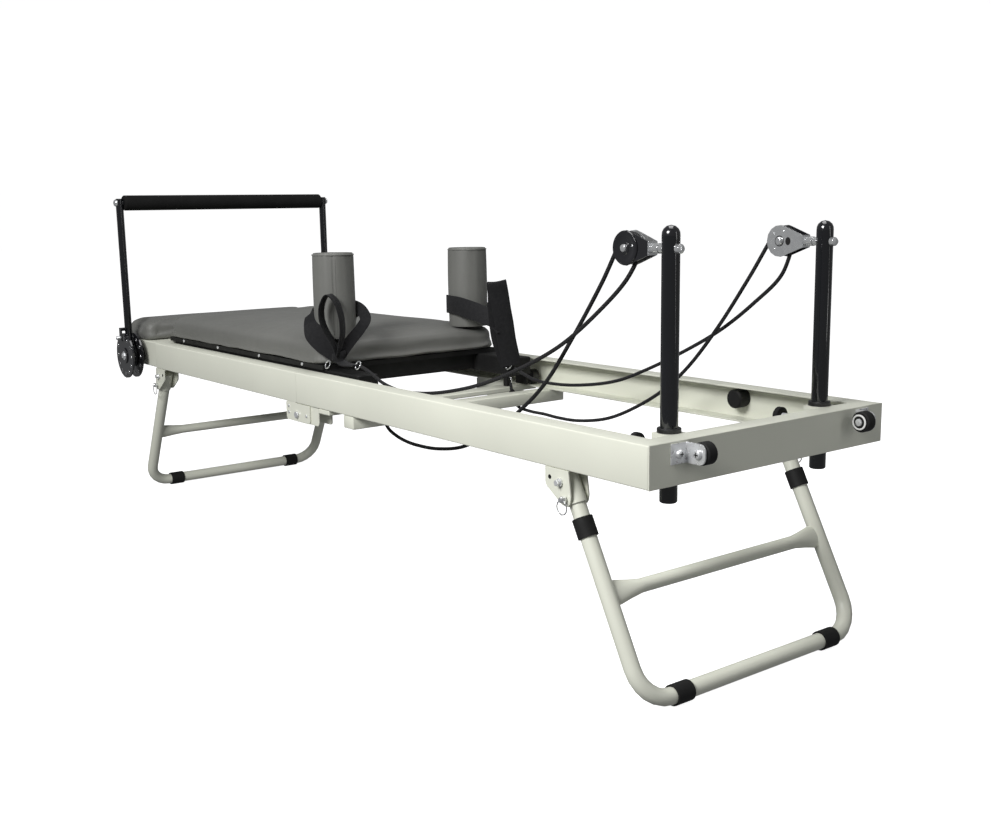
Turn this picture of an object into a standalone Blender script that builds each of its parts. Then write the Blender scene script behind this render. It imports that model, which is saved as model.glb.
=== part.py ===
"""Folding pilates reformer, in metres with +Z up.

The origin is on the floor, at the middle of the footprint. +X points to the pulley end,
-Y is the near side rail, and every length along the frame is measured back from the
outer face of the head end beam.
"""

import math

import bmesh
import bpy
from mathutils import Matrix, Vector

# Frame
FRAME_WIDTH = 0.640
DECK_Z = 0.488
RAIL_HEIGHT = 0.076
RAIL_FLANGE = 0.046
SHEET = 0.003
RAIL_LENGTH = 2.120
FOLD_AT = 1.220
FOOT_BOX_END = 2.380
FOOT_BOX_HALF_WIDTH = 0.313
HEAD_X = 1.165
GAP = 0.0003

# Legs
TUBE_R = 0.016
LEG_HALF_WIDTH = 0.297
LEG_PIVOT_Z = 0.388
LEG_SPLAY = math.radians(27.8)
LEG_BEND_R = 0.065
FOOT_BAND_R = 0.0195
HEAD_LEG_AT = 0.225
FOOT_LEG_AT = 2.105
CROSSBAR_ALONG = 0.216
LOCK_PIN_ALONG = 0.032

# Carriage
PAD_START, PAD_END = 1.160, 2.140
PAD_HALF_WIDTH = 0.283
PAD_BOTTOM, PAD_TOP = 0.5048, 0.566
ROLLER_R = 0.020
ROLLERS_AT = (1.055, 2.020)
ARM_END = 1.020
SHOULDER_AT, SHOULDER_Y, SHOULDER_R = 1.215, 0.205, 0.053
SHOULDER_TOP = 0.775
SPRING_YS = (-0.110, 0.0, 0.110)
SPRING_Z = 0.434

# Foot bar
BAR_AT, BAR_Y, BAR_R = 2.250, 0.352, 0.011
BAR_TOP_Z = 0.911
DISC_Z, DISC_R = 0.443, 0.070
GRIP_R = 0.023

# Posts and pulleys
POST_AT, POST_Y, POST_R = 0.0645, 0.208, 0.016
POST_BOTTOM, POST_TOP = 0.363, 0.844
PULLEY_AT, PULLEY_Z = 0.163, 0.804
PULLEY_R, GROOVE_R = 0.028, 0.0195
ROPE_R = 0.004
WHEEL_OUT, WHEEL_Y, WHEEL_Z, WHEEL_R = 0.030, 0.2190, 0.467, 0.020

RAIL_BOTTOM = DECK_Z - RAIL_HEIGHT
HALF = FRAME_WIDTH / 2
SIDES = {"near": -1, "far": 1}

FINISHES = {  # base colour, roughness, metallic
    "cream": ((0.78, 0.77, 0.68), 0.38, 0.0),
    "black_chrome": ((0.02, 0.022, 0.025), 0.12, 0.6),
    "chrome": ((0.75, 0.76, 0.78), 0.15, 1.0),
    "zinc": ((0.62, 0.64, 0.65), 0.3, 1.0),
    "black_steel": ((0.02, 0.02, 0.02), 0.45, 0.0),
    "vinyl": ((0.19, 0.19, 0.18), 0.55, 0.0),
    "rubber": ((0.015, 0.015, 0.015), 0.7, 0.0),
    "plastic": ((0.02, 0.02, 0.02), 0.35, 0.0),
    "webbing": ((0.015, 0.015, 0.017), 0.9, 0.0),
}


def along(distance):
    """World X of a place this far back from the head end beam's outer face."""
    return HEAD_X - distance


def start_scene():
    for obj in list(bpy.data.objects):
        bpy.data.objects.remove(obj, do_unlink=True)
    made = []
    for name in ("pilates_reformer", "cutters"):
        collection = bpy.data.collections.new(name)
        bpy.context.scene.collection.children.link(collection)
        made.append(collection)
    return made


PARTS, CUTTERS = start_scene()


# ---------------------------------------------------------------- helpers
def place(name, data, finish):
    """Link an object to the parts with its own material, or to the cutters when it has no finish."""
    obj = bpy.data.objects.new(name, data)
    if finish is None:
        CUTTERS.objects.link(obj)
        obj.hide_render = True
        obj.display_type = "WIRE"
        return obj
    PARTS.objects.link(obj)
    colour, roughness, metallic = FINISHES[finish]
    material = bpy.data.materials.new(name + "_" + finish)
    material.use_nodes = True
    shader = material.node_tree.nodes["Principled BSDF"]
    shader.inputs["Base Color"].default_value = (*colour, 1.0)
    shader.inputs["Roughness"].default_value = roughness
    shader.inputs["Metallic"].default_value = metallic
    data.materials.append(material)
    return obj


def mesh_of(bm, name):
    mesh = bpy.data.meshes.new(name)
    bmesh.ops.recalc_face_normals(bm, faces=bm.faces)
    bm.to_mesh(mesh)
    bm.free()
    mesh.shade_smooth()
    mesh.set_sharp_from_angle(angle=math.radians(35))
    return mesh


def box(name, low, high, finish=None, bevel=0.0, segments=2):
    low, high = Vector(low), Vector(high)
    size = high - low
    bm = bmesh.new()
    bmesh.ops.create_cube(bm, size=1.0)
    bmesh.ops.scale(bm, vec=size, verts=bm.verts)
    obj = place(name, mesh_of(bm, name), finish)
    obj.location = (low + high) / 2
    if bevel:
        modifier = obj.modifiers.new("bevel", "BEVEL")
        modifier.width = bevel
        modifier.segments = segments
    return obj


def rod(name, start, end, radius, finish=None, sides=20):
    start, end = Vector(start), Vector(end)
    bm = bmesh.new()
    bmesh.ops.create_cone(
        bm, cap_ends=True, segments=sides, radius1=radius, radius2=radius, depth=(end - start).length
    )
    obj = place(name, mesh_of(bm, name), finish)
    obj.location = (start + end) / 2
    obj.rotation_euler = (end - start).to_track_quat("Z", "Y").to_euler()
    return obj


def solidified(curve_obj, finish):
    """The mesh object of a curve, its caps welded on."""
    bpy.context.view_layer.update()
    graph = bpy.context.evaluated_depsgraph_get()
    mesh = bpy.data.meshes.new_from_object(curve_obj.evaluated_get(graph))
    bm = bmesh.new()
    bm.from_mesh(mesh)
    bpy.data.meshes.remove(mesh)
    bmesh.ops.remove_doubles(bm, verts=bm.verts, dist=1e-5)
    name = curve_obj.name
    matrix = curve_obj.matrix_world.copy()
    bpy.data.objects.remove(curve_obj)
    obj = place(name, mesh_of(bm, name), finish)
    obj.matrix_world = matrix
    return obj


def tube(name, points, radius, finish=None, resolution=6, cyclic=False):
    curve = bpy.data.curves.new(name, "CURVE")
    curve.dimensions = "3D"
    curve.bevel_depth = radius
    curve.bevel_resolution = resolution
    curve.use_fill_caps = not cyclic
    spline = curve.splines.new("POLY")
    spline.points.add(len(points) - 1)
    for point, co in zip(spline.points, points):
        point.co = (*co, 1.0)
    spline.use_cyclic_u = cyclic
    obj = bpy.data.objects.new(name, curve)
    CUTTERS.objects.link(obj)
    return solidified(obj, finish)


def outline_solid(name, outline, depth, matrix, finish=None):
    """A flat outline in the XY plane of the matrix, filled and made this deep, half each way."""
    curve = bpy.data.curves.new(name, "CURVE")
    curve.dimensions = "2D"
    curve.fill_mode = "BOTH"
    curve.extrude = depth / 2
    spline = curve.splines.new("POLY")
    spline.points.add(len(outline) - 1)
    for point, co in zip(spline.points, outline):
        point.co = (co[0], co[1], 0.0, 1.0)
    spline.use_cyclic_u = True
    obj = bpy.data.objects.new(name, curve)
    obj.matrix_world = matrix
    CUTTERS.objects.link(obj)
    return solidified(obj, finish)


def plate_xz(name, outline, y_low, y_high, finish=None):
    """A plate whose outline is given in X and Z and whose thickness is along Y."""
    matrix = Matrix.Translation((0, (y_low + y_high) / 2, 0)) @ Matrix.Rotation(math.pi / 2, 4, "X")
    return outline_solid(name, outline, abs(y_high - y_low), matrix, finish)


def section_yz(name, outline, x_low, x_high, finish=None):
    """A bar whose section is given in Y and Z and whose length is along X."""
    turn = Matrix(((0, 0, 1, (x_low + x_high) / 2), (1, 0, 0, 0), (0, 1, 0, 0), (0, 0, 0, 1)))
    return outline_solid(name, outline, abs(x_high - x_low), turn, finish)


def slab_xy(name, outline, z_low, z_high, finish=None):
    """A slab whose outline is given in X and Y and whose thickness is along Z."""
    return outline_solid(
        name, outline, z_high - z_low, Matrix.Translation((0, 0, (z_low + z_high) / 2)), finish
    )


def rounded(corners, radii, steps=4):
    """The outline through these corners with each one rounded to its radius, where it isn't zero."""
    points = []
    count = len(corners)
    for i, radius in enumerate(radii):
        here = Vector(corners[i])
        if not radius:
            points.append(tuple(here))
            continue
        back = (Vector(corners[i - 1]) - here).normalized()
        on = (Vector(corners[(i + 1) % count]) - here).normalized()
        half_angle = back.angle(on) / 2
        reach = radius / math.tan(half_angle)
        centre = here + (back + on).normalized() * (radius / math.sin(half_angle))
        first = here + back * reach - centre
        last = here + on * reach - centre
        sweep = first.angle_signed(last)
        for step in range(steps + 1):
            angle = -sweep * step / steps
            turned_arm = Vector(
                (
                    first.x * math.cos(angle) - first.y * math.sin(angle),
                    first.x * math.sin(angle) + first.y * math.cos(angle),
                )
            )
            points.append(tuple(centre + turned_arm))
    return points


def rectangle(x_low, x_high, y_low, y_high, radius, steps=4):
    corners = [(x_low, y_low), (x_high, y_low), (x_high, y_high), (x_low, y_high)]
    return rounded(corners, [radius] * 4, steps)


def circle(x, y, radius, count=20):
    return [
        (x + radius * math.cos(2 * math.pi * i / count), y + radius * math.sin(2 * math.pi * i / count))
        for i in range(count)
    ]


def turned(name, profile, centre, axis, finish=None, sides=20, closed=False):
    """A solid of revolution. The profile is (radius, height) pairs down its outer side."""
    bm = bmesh.new()
    verts = [bm.verts.new((radius, 0, height)) for radius, height in profile]
    for first, second in zip(verts, verts[1:]):
        bm.edges.new((first, second))
    if closed:
        bm.edges.new((verts[-1], verts[0]))
    mesh = bpy.data.meshes.new(name)
    bm.to_mesh(mesh)
    bm.free()
    obj = place(name, mesh, finish)
    modifier = obj.modifiers.new("turn", "SCREW")
    modifier.axis = "Z"
    modifier.steps = sides
    modifier.render_steps = sides
    modifier.use_merge_vertices = True
    modifier.merge_threshold = 1e-5
    modifier.use_smooth_shade = True
    obj.location = centre
    obj.rotation_euler = Vector(axis).to_track_quat("Z", "Y").to_euler()
    return obj


def combine(target, others, operation="UNION"):
    for other in others:
        modifier = target.modifiers.new(other.name, "BOOLEAN")
        modifier.operation = operation
        modifier.object = other
        modifier.solver = "EXACT"
    return target


def cut(target, *cutters):
    return combine(target, cutters, "DIFFERENCE")


def pivot(name, location, pieces):
    """An empty on a joint's axis that the pieces of the moving body hang from."""
    empty = bpy.data.objects.new(name, None)
    empty.location = location
    PARTS.objects.link(empty)
    bpy.context.view_layer.update()
    for piece in pieces:
        piece.parent = empty
        piece.matrix_parent_inverse = empty.matrix_world.inverted()
    return empty


def smooth_route(points):
    """Closely spaced points on a smooth curve through the route's points."""
    points = [Vector(point) for point in points]
    ends = [2 * points[0] - points[1], *points, 2 * points[-1] - points[-2]]
    dense = []
    per_span = 24
    for p0, p1, p2, p3 in zip(ends, ends[1:], ends[2:], ends[3:]):
        k1 = math.sqrt((p1 - p0).length)
        k2 = math.sqrt((p2 - p1).length)
        k3 = math.sqrt((p3 - p2).length)
        m1 = (p1 - p0) / k1 - (p2 - p0) / (k1 + k2) + (p2 - p1) / k2
        m2 = (p2 - p1) / k2 - (p3 - p1) / (k2 + k3) + (p3 - p2) / k3
        for step in range(per_span):
            t = step / per_span
            h1 = 2 * t**3 - 3 * t**2 + 1
            h2 = t**3 - 2 * t**2 + t
            h3 = 3 * t**2 - 2 * t**3
            h4 = t**3 - t**2
            dense.append(h1 * p1 + h2 * k2 * m1 + h3 * p2 + h4 * k2 * m2)
    dense.append(points[-1])
    return dense


def thinned(points, centre, near, fine, coarse):
    """Points along a dense route, a fine step apart near the centre and a coarse one elsewhere."""
    centre = Vector(centre)
    kept = [points[0]]
    gone = 0.0
    for first, second in zip(points, points[1:]):
        gone += (second - first).length
        if gone >= (fine if (second - centre).length < near else coarse):
            kept.append(second)
            gone = 0.0
    if (points[-1] - kept[-1]).length < coarse / 2:
        kept.pop()
    return [*kept, points[-1]]


# ---------------------------------------------------------------- frame
FOLD_X = along(FOLD_AT)
LEAF_BOTTOM = 0.366
LEAF_TOP = RAIL_BOTTOM - 0.0008
FOLD_PIN_Z = 0.383
FOLD_PIN_R = 0.005


def rail_section(side):
    """An inward-facing C channel with a rounded outer back."""
    web = side * HALF
    tip = side * (HALF - RAIL_FLANGE)
    inner = side * (HALF - SHEET)
    corners = [
        (web, DECK_Z),
        (tip, DECK_Z),
        (tip, DECK_Z - SHEET),
        (inner, DECK_Z - SHEET),
        (inner, RAIL_BOTTOM + SHEET),
        (tip, RAIL_BOTTOM + SHEET),
        (tip, RAIL_BOTTOM),
        (web, RAIL_BOTTOM),
    ]
    return rounded(corners, [0.0025, 0, 0, 0, 0, 0, 0, 0.0025], 3)


def fold_leaf(name, side, start, end, weld_start, weld_end, inset):
    """Two cheeks under a rail, one inside its web and one inside its lip, each with a welded tab."""
    weld_top = RAIL_BOTTOM + 0.0012
    corners = [
        (along(end), LEAF_BOTTOM),
        (along(start), LEAF_BOTTOM),
        (along(start), LEAF_TOP),
        (along(weld_start), LEAF_TOP),
        (along(weld_start), weld_top),
        (along(weld_end), weld_top),
        (along(weld_end), LEAF_TOP),
        (along(end), LEAF_TOP),
    ]
    outline = rounded(corners, [0.008, 0.008, 0.003, 0, 0, 0, 0, 0.003], 3)
    pieces = []
    for label, depth in (("outer", inset), ("inner", RAIL_FLANGE - SHEET - inset)):
        pieces.append(
            plate_xz(f"{name}_{label}", outline, side * (HALF - depth), side * (HALF - depth - SHEET))
        )
    return pieces


def rails():
    for label, side in SIDES.items():
        section = rail_section(side)
        head = section_yz(f"rail_{label}_head", section, FOLD_X + GAP, HEAD_X - SHEET - GAP, "cream")
        foot = section_yz(f"rail_{label}_foot", section, along(RAIL_LENGTH), FOLD_X - GAP, "cream")
        pin_hole = rod(
            f"fold_hole_{label}",
            (FOLD_X, side * (HALF + 0.01), FOLD_PIN_Z),
            (FOLD_X, side * (HALF - 0.06), FOLD_PIN_Z),
            FOLD_PIN_R + GAP,
            sides=12,
        )
        pin = turned(
            f"fold_pin_{label}",
            [(0, 0.0255), (0.008, 0.0255), (0.009, 0.0235), (FOLD_PIN_R, 0.0235),
             (FOLD_PIN_R, -0.0235), (0.009, -0.0235), (0.008, -0.0275), (0, -0.0275)],
            (FOLD_X, side * (HALF - 0.023), FOLD_PIN_Z),
            (0, -side, 0),
            sides=12,
        )
        combine(head, fold_leaf(f"leaf_{label}_head", side, 1.118, 1.250, 1.122, 1.214, 0.0041))
        combine(head, [pin])
        combine(foot, fold_leaf(f"leaf_{label}_foot", side, 1.156, 1.276, 1.226, 1.270, 0.0004))
        cut(foot, pin_hole)


def end_beam():
    inner = HALF - RAIL_FLANGE - GAP
    beam = box("end_beam_head", (HEAD_X - SHEET, -HALF, RAIL_BOTTOM), (HEAD_X, HALF, DECK_Z), "cream")
    flange_x = along(0.045)
    combine(
        beam,
        [
            box("beam_top", (flange_x, -inner, DECK_Z - SHEET), (HEAD_X - SHEET / 2, inner, DECK_Z)),
            box("beam_lip", (flange_x, -inner, RAIL_BOTTOM), (HEAD_X - SHEET / 2, inner, RAIL_BOTTOM + SHEET)),
        ],
    )
    for label, side in SIDES.items():
        x, y = along(POST_AT), side * POST_Y
        socket = box(f"socket_{label}", (x - 0.0205, y - 0.022, RAIL_BOTTOM), (x + 0.0205, y + 0.022, DECK_Z))
        bore = rod(f"socket_bore_{label}", (x, y, 0.3), (x, y, 0.6), POST_R + 0.0005, sides=20)
        combine(beam, [socket])
        cut(beam, bore)


def foot_box():
    """The folded sheet box that closes the foot end, open underneath, with the eyes of the springs."""
    start, end = along(FOOT_BOX_END), along(RAIL_LENGTH) - GAP
    width = FOOT_BOX_HALF_WIDTH
    tray = box("foot_box", (start, -width, RAIL_BOTTOM), (end, width, DECK_Z), "cream", 0.002, 1)
    hollow = box(
        "foot_box_hollow",
        (start + SHEET, -width + SHEET, RAIL_BOTTOM - 0.01),
        (end - SHEET, width - SHEET, DECK_Z - SHEET),
    )
    cut(tray, hollow)
    eyes = [
        box(f"foot_eye_{i}", (end - 0.001, y - 0.003, SPRING_Z - 0.01), (end + 0.014, y + 0.003, SPRING_Z + 0.01))
        for i, y in enumerate(SPRING_YS)
    ]
    combine(tray, eyes)
    pad = slab_xy(
        "platform_pad", rectangle(start + 0.002, along(2.200), -0.315, 0.315, 0.02), DECK_Z + GAP, 0.545, "vinyl"
    )
    soften = pad.modifiers.new("soften", "BEVEL")
    soften.width = 0.008
    soften.segments = 2


def cross_members():
    """The flat bar beside the fold and the box tube behind it, both under the rails."""
    top = RAIL_BOTTOM - GAP
    box("crossbar_flat", (along(1.115), -0.318, 0.399), (along(1.065), 0.318, top), "cream", 0.002, 1)
    box("crossbar_box", (along(0.998), -0.318, 0.381), (along(0.953), 0.318, top), "cream", 0.003, 2)


def roller_stops():
    for label, side in SIDES.items():
        turned(
            f"roller_stop_{label}",
            [(0, 0.016), (0.018, 0.016), (0.021, 0.013), (0.021, -0.0157), (0, -0.0157)],
            (along(0.349), side * 0.301, 0.458),
            (0, -side, 0),
            "rubber",
            sides=18,
        )


def bumpers():
    """A rubber button on a stem at each post socket, facing the carriage."""
    for label, side in SIDES.items():
        turned(
            f"bumper_{label}",
            [(0, 0.0), (0.013, 0.0), (0.017, -0.004), (0.017, -0.014), (0.006, -0.016), (0.006, -0.0755),
             (0, -0.0755)],
            (along(0.1615), side * 0.200, 0.458),
            (-1, 0, 0),
            "rubber",
            sides=18,
        )


# ---------------------------------------------------------------- legs
def leg_point(pivot_at, outward, reach, y):
    """A point on the leg's plane: outward is +1 when the leg splays to +X, reach is down the leg."""
    return Vector(
        (
            along(pivot_at) + outward * reach * math.sin(LEG_SPLAY),
            y,
            LEG_PIVOT_Z - reach * math.cos(LEG_SPLAY),
        )
    )


LEG_REACH = (LEG_PIVOT_Z - FOOT_BAND_R) / math.cos(LEG_SPLAY)


def leg_path(pivot_at, outward):
    """Down one side, across at the floor and up the other, with round bends."""
    points = [leg_point(pivot_at, outward, 0.0, -LEG_HALF_WIDTH)]
    for side in (-1, 1):
        for step in range(7):
            turn = math.radians(90 * step / 6)
            if side > 0:
                turn = math.pi / 2 - turn
            reach = LEG_REACH - LEG_BEND_R * (1 - math.sin(turn))
            y = side * (LEG_HALF_WIDTH - LEG_BEND_R * (1 - math.cos(turn)))
            points.append(leg_point(pivot_at, outward, reach, y))
    points.append(leg_point(pivot_at, outward, 0.0, LEG_HALF_WIDTH))
    return points


def flattened_bar(name, pivot_at, outward):
    """A round bar between the uprights, pressed flat and wide where it meets them."""
    across = Vector((math.cos(LEG_SPLAY), 0, outward * math.sin(LEG_SPLAY)))
    down = leg_point(0, outward, 1, 0) - leg_point(0, outward, 0, 0)
    round_r, flat_wide, flat_thick = 0.0135, 0.023, 0.009
    stations = [(-0.292, 1.0), (-0.272, 1.0), (-0.245, 0.45), (-0.215, 0.0)]
    stations += [(-y, flat) for y, flat in reversed(stations)]
    bm = bmesh.new()
    rings = []
    sides = 14
    for y, flat in stations:
        wide = round_r + (flat_wide - round_r) * flat
        thick = round_r + (flat_thick - round_r) * flat
        centre = leg_point(pivot_at, outward, CROSSBAR_ALONG, y)
        ring = []
        for i in range(sides):
            angle = 2 * math.pi * i / sides
            offset = down * wide * math.cos(angle) + across * thick * math.sin(angle)
            ring.append(bm.verts.new(centre + offset))
        rings.append(ring)
    for first, second in zip(rings, rings[1:]):
        for i in range(sides):
            j = (i + 1) % sides
            bm.faces.new((first[i], first[j], second[j], second[i]))
    bm.faces.new(rings[0])
    bm.faces.new(rings[-1])
    return place(name, mesh_of(bm, name), None)


def leg(end, pivot_at, outward):
    frame = tube(f"leg_{end}", leg_path(pivot_at, outward), TUBE_R, "cream", resolution=5)
    combine(frame, [flattened_bar(f"crossbar_{end}", pivot_at, outward)])
    pieces = [frame]
    for label, side in SIDES.items():
        y = side * LEG_HALF_WIDTH
        sleeve = rod(
            f"sleeve_{end}_{label}",
            leg_point(pivot_at, outward, -0.012, y),
            leg_point(pivot_at, outward, 0.045, y),
            0.019,
            sides=20,
        )
        bore = rod(
            f"pivot_bore_{end}_{label}",
            (along(pivot_at), side * 0.27, LEG_PIVOT_Z),
            (along(pivot_at), side * 0.33, LEG_PIVOT_Z),
            0.0044,
            sides=12,
        )
        combine(frame, [sleeve])
        cut(frame, bore)
        pieces.append(foot_band(end, label, side, pivot_at, outward))
        if end == "head":
            pieces.append(stacking_band(label, y, pivot_at, outward))
    return pivot(f"leg_{end}_pivot", (along(pivot_at), 0, LEG_PIVOT_Z), pieces)


def foot_band(end, label, side, pivot_at, outward):
    """A rubber sleeve on the floor run of the leg, the only piece that touches the floor."""
    half_length, inner = 0.021, TUBE_R + GAP + 0.0002
    return turned(
        f"foot_band_{end}_{label}",
        [(FOOT_BAND_R, half_length), (FOOT_BAND_R, -half_length), (inner, -half_length), (inner, half_length)],
        leg_point(pivot_at, outward, LEG_REACH, side * 0.208),
        (0, 1, 0),
        "rubber",
        sides=20,
        closed=True,
    )


def stacking_band(label, y, pivot_at, outward):
    """A rubber sleeve near the top of the leg, where the folded machine would rub on itself."""
    centre = leg_point(pivot_at, outward, 0.090, y)
    half_length, inner = 0.0185, TUBE_R + GAP + 0.0002
    return turned(
        f"leg_band_{label}",
        [(FOOT_BAND_R, half_length), (FOOT_BAND_R, -half_length), (inner, -half_length), (inner, half_length)],
        centre,
        leg_point(pivot_at, outward, 0.0, y) - centre,
        "rubber",
        sides=20,
        closed=True,
    )


def leg_bracket(end, label, side, pivot_at, outward):
    """Two cheeks, the bolt that the leg turns on and the web that joins them under the rail."""
    x = along(pivot_at)
    top = RAIL_BOTTOM - GAP
    low_x, high_x = x - outward * 0.042, x + outward * 0.022
    pin = leg_point(pivot_at, outward, LOCK_PIN_ALONG, 0)
    corners = [
        (low_x, top),
        (high_x, top),
        (x + outward * 0.029, pin.z + 0.004),
        (pin.x + outward * 0.010, pin.z - 0.016),
        (pin.x - outward * 0.012, pin.z - 0.012),
        (low_x, LEG_PIVOT_Z - 0.010),
    ]
    outline = rounded(corners, [0, 0, 0.006, 0.009, 0.009, 0.012], 2)
    outer = plate_xz(f"leg_bracket_{end}_{label}", outline, side * HALF, side * (HALF - SHEET), "cream")
    inner_y = HALF - RAIL_FLANGE + 0.0005
    inner = plate_xz(f"inner_cheek_{end}_{label}", outline, side * inner_y, side * (inner_y + SHEET))
    web_x = sorted((low_x, x - outward * 0.016))
    web_y = sorted((side * (inner_y + 0.001), side * (HALF - 0.001)))
    web = box(f"bracket_web_{end}_{label}", (web_x[0], web_y[0], top - SHEET), (web_x[1], web_y[1], top))
    bolt = turned(
        f"pivot_bolt_{end}_{label}",
        [(0, 0.030), (0.006, 0.030), (0.008, 0.027), (0.008, 0.024), (0.004, 0.024),
         (0.004, -0.022), (0.007, -0.022), (0.007, -0.028), (0, -0.028)],
        (x, side * LEG_HALF_WIDTH, LEG_PIVOT_Z),
        (0, side, 0),
        sides=10,
    )
    hole = rod(
        f"lock_hole_{end}_{label}",
        (pin.x, side * (HALF + 0.01), pin.z),
        (pin.x, side * (HALF - 0.01), pin.z),
        0.0036,
        sides=12,
    )
    combine(outer, [inner, web, bolt])
    cut(outer, hole)


def pull_pin(name, x, y, z, side, ring=True):
    """A spring plunger: a nose that goes into a hole, a knob, and a wire ring to pull it by."""
    knob = turned(
        name,
        [(0, 0.015), (0.004, 0.015), (0.0055, 0.013), (0.0065, 0.009), (0.0065, 0.0035),
         (0.003, 0.0035), (0.003, -0.0018), (0, -0.0018)],
        (x, y, z),
        (0, side, 0),
        "zinc",
        sides=10,
    )
    if ring:
        loop_y = y + side * 0.0095
        loop_r = 0.0135
        centre_z = z - loop_r - 0.001
        points = [(px, loop_y, pz) for px, pz in circle(x, centre_z, loop_r, 12)]
        combine(knob, [tube(name + "_ring", points, 0.0013, resolution=1, cyclic=True)])
    return knob


def legs():
    for end, pivot_at, outward in (("head", HEAD_LEG_AT, 1), ("foot", FOOT_LEG_AT, -1)):
        leg(end, pivot_at, outward)
        for label, side in SIDES.items():
            leg_bracket(end, label, side, pivot_at, outward)
            spot = leg_point(pivot_at, outward, LOCK_PIN_ALONG, side * HALF)
            pin = pull_pin(f"leg_pin_{end}_{label}", spot.x, spot.y, spot.z, side)
            pivot(f"leg_pin_{end}_{label}_slide", spot, [pin])


# ---------------------------------------------------------------- posts, pulleys, transport wheels
def posts():
    for label, side in SIDES.items():
        x, y = along(POST_AT), side * POST_Y
        dome = [(POST_R * math.sin(a), POST_TOP - POST_R * (1 - math.cos(a))) for a in
                (math.radians(v) for v in (0, 28, 54, 76))]
        profile = dome + [
            (POST_R, POST_TOP - 0.018),
            (POST_R, DECK_Z + 0.0085),
            (0.0205, DECK_Z + 0.0085),
            (0.0215, DECK_Z + 0.0075),
            (0.0215, DECK_Z + GAP),
            (POST_R, DECK_Z + GAP),
            (POST_R, POST_BOTTOM + 0.002),
            (POST_R - 0.002, POST_BOTTOM),
            (0, POST_BOTTOM),
        ]
        post = turned(f"post_{label}", profile, (x, y, 0), (0, 0, 1), "black_chrome", sides=18)
        bolt = turned(
            f"eye_bolt_{label}",
            [(0, 0.0285), (0.005, 0.0275), (0.0085, 0.0235), (0.0085, 0.0150), (0.004, 0.0150),
             (0.004, -0.0150), (0.008, -0.0150), (0.008, -0.0245), (0.004, -0.0245), (0.004, -0.037), (0, -0.037)],
            (x, y, PULLEY_Z),
            (1, 0, 0),
            sides=12,
        )
        combine(post, [bolt])
        pulley(label, side)
        transport_wheel(label, side)


def pulley(label, side):
    x, y = along(PULLEY_AT), side * POST_Y
    neck_x = along(0.112)
    cheek_r = 0.031
    arc = [math.radians(v) for v in range(60, 301, 24)]
    outline = [(x + cheek_r * math.cos(a), PULLEY_Z + cheek_r * math.sin(a)) for a in arc]
    outline += [(neck_x + 0.004, PULLEY_Z - 0.012), (neck_x + 0.004, PULLEY_Z + 0.012)]
    first = plate_xz(f"pulley_frame_{label}", outline, y - 0.012, y - 0.010, "chrome")
    second = plate_xz(f"pulley_cheek_{label}", outline, y + 0.010, y + 0.012)
    bridge = box(
        f"pulley_bridge_{label}", (neck_x, y - 0.011, PULLEY_Z - 0.012), (neck_x + 0.005, y + 0.011, PULLEY_Z + 0.012)
    )
    yoke = rod(
        f"pulley_yoke_{label}", (neck_x + 0.002, y, PULLEY_Z), (along(0.0895), y, PULLEY_Z), 0.009, sides=16
    )
    axle = turned(
        f"pulley_axle_{label}",
        [(0, 0.017), (0.006, 0.017), (0.008, 0.0145), (0.008, 0.0115), (0.004, 0.0115),
         (0.004, -0.0115), (0.008, -0.0115), (0.008, -0.0145), (0.006, -0.017), (0, -0.017)],
        (x, y, PULLEY_Z),
        (0, 1, 0),
        sides=12,
    )
    bore = rod(f"yoke_bore_{label}", (along(0.1025), y, PULLEY_Z), (along(0.08), y, PULLEY_Z), 0.0043, sides=12)
    combine(first, [second, bridge, yoke, axle])
    cut(first, bore)
    flange, groove = 0.0090, 0.0052
    wheel = turned(
        f"pulley_wheel_{label}",
        [(0.0270, flange), (PULLEY_R, flange - 0.001), (PULLEY_R, groove + 0.0015), (GROOVE_R + 0.0015, groove),
         (GROOVE_R, groove - 0.0015), (GROOVE_R, 0.0015 - groove), (GROOVE_R + 0.0015, -groove),
         (PULLEY_R, -groove - 0.0015), (PULLEY_R, 0.001 - flange), (0.0270, -flange), (0.0044, -flange),
         (0.0044, flange)],
        (x, y, PULLEY_Z),
        (0, 1, 0),
        "plastic",
        sides=18,
        closed=True,
    )
    spin = pivot(f"pulley_{label}_spin", (x, y, PULLEY_Z), [wheel])
    pivot(f"pulley_{label}_swivel", (along(0.0895), y, PULLEY_Z), [first, spin])


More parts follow.
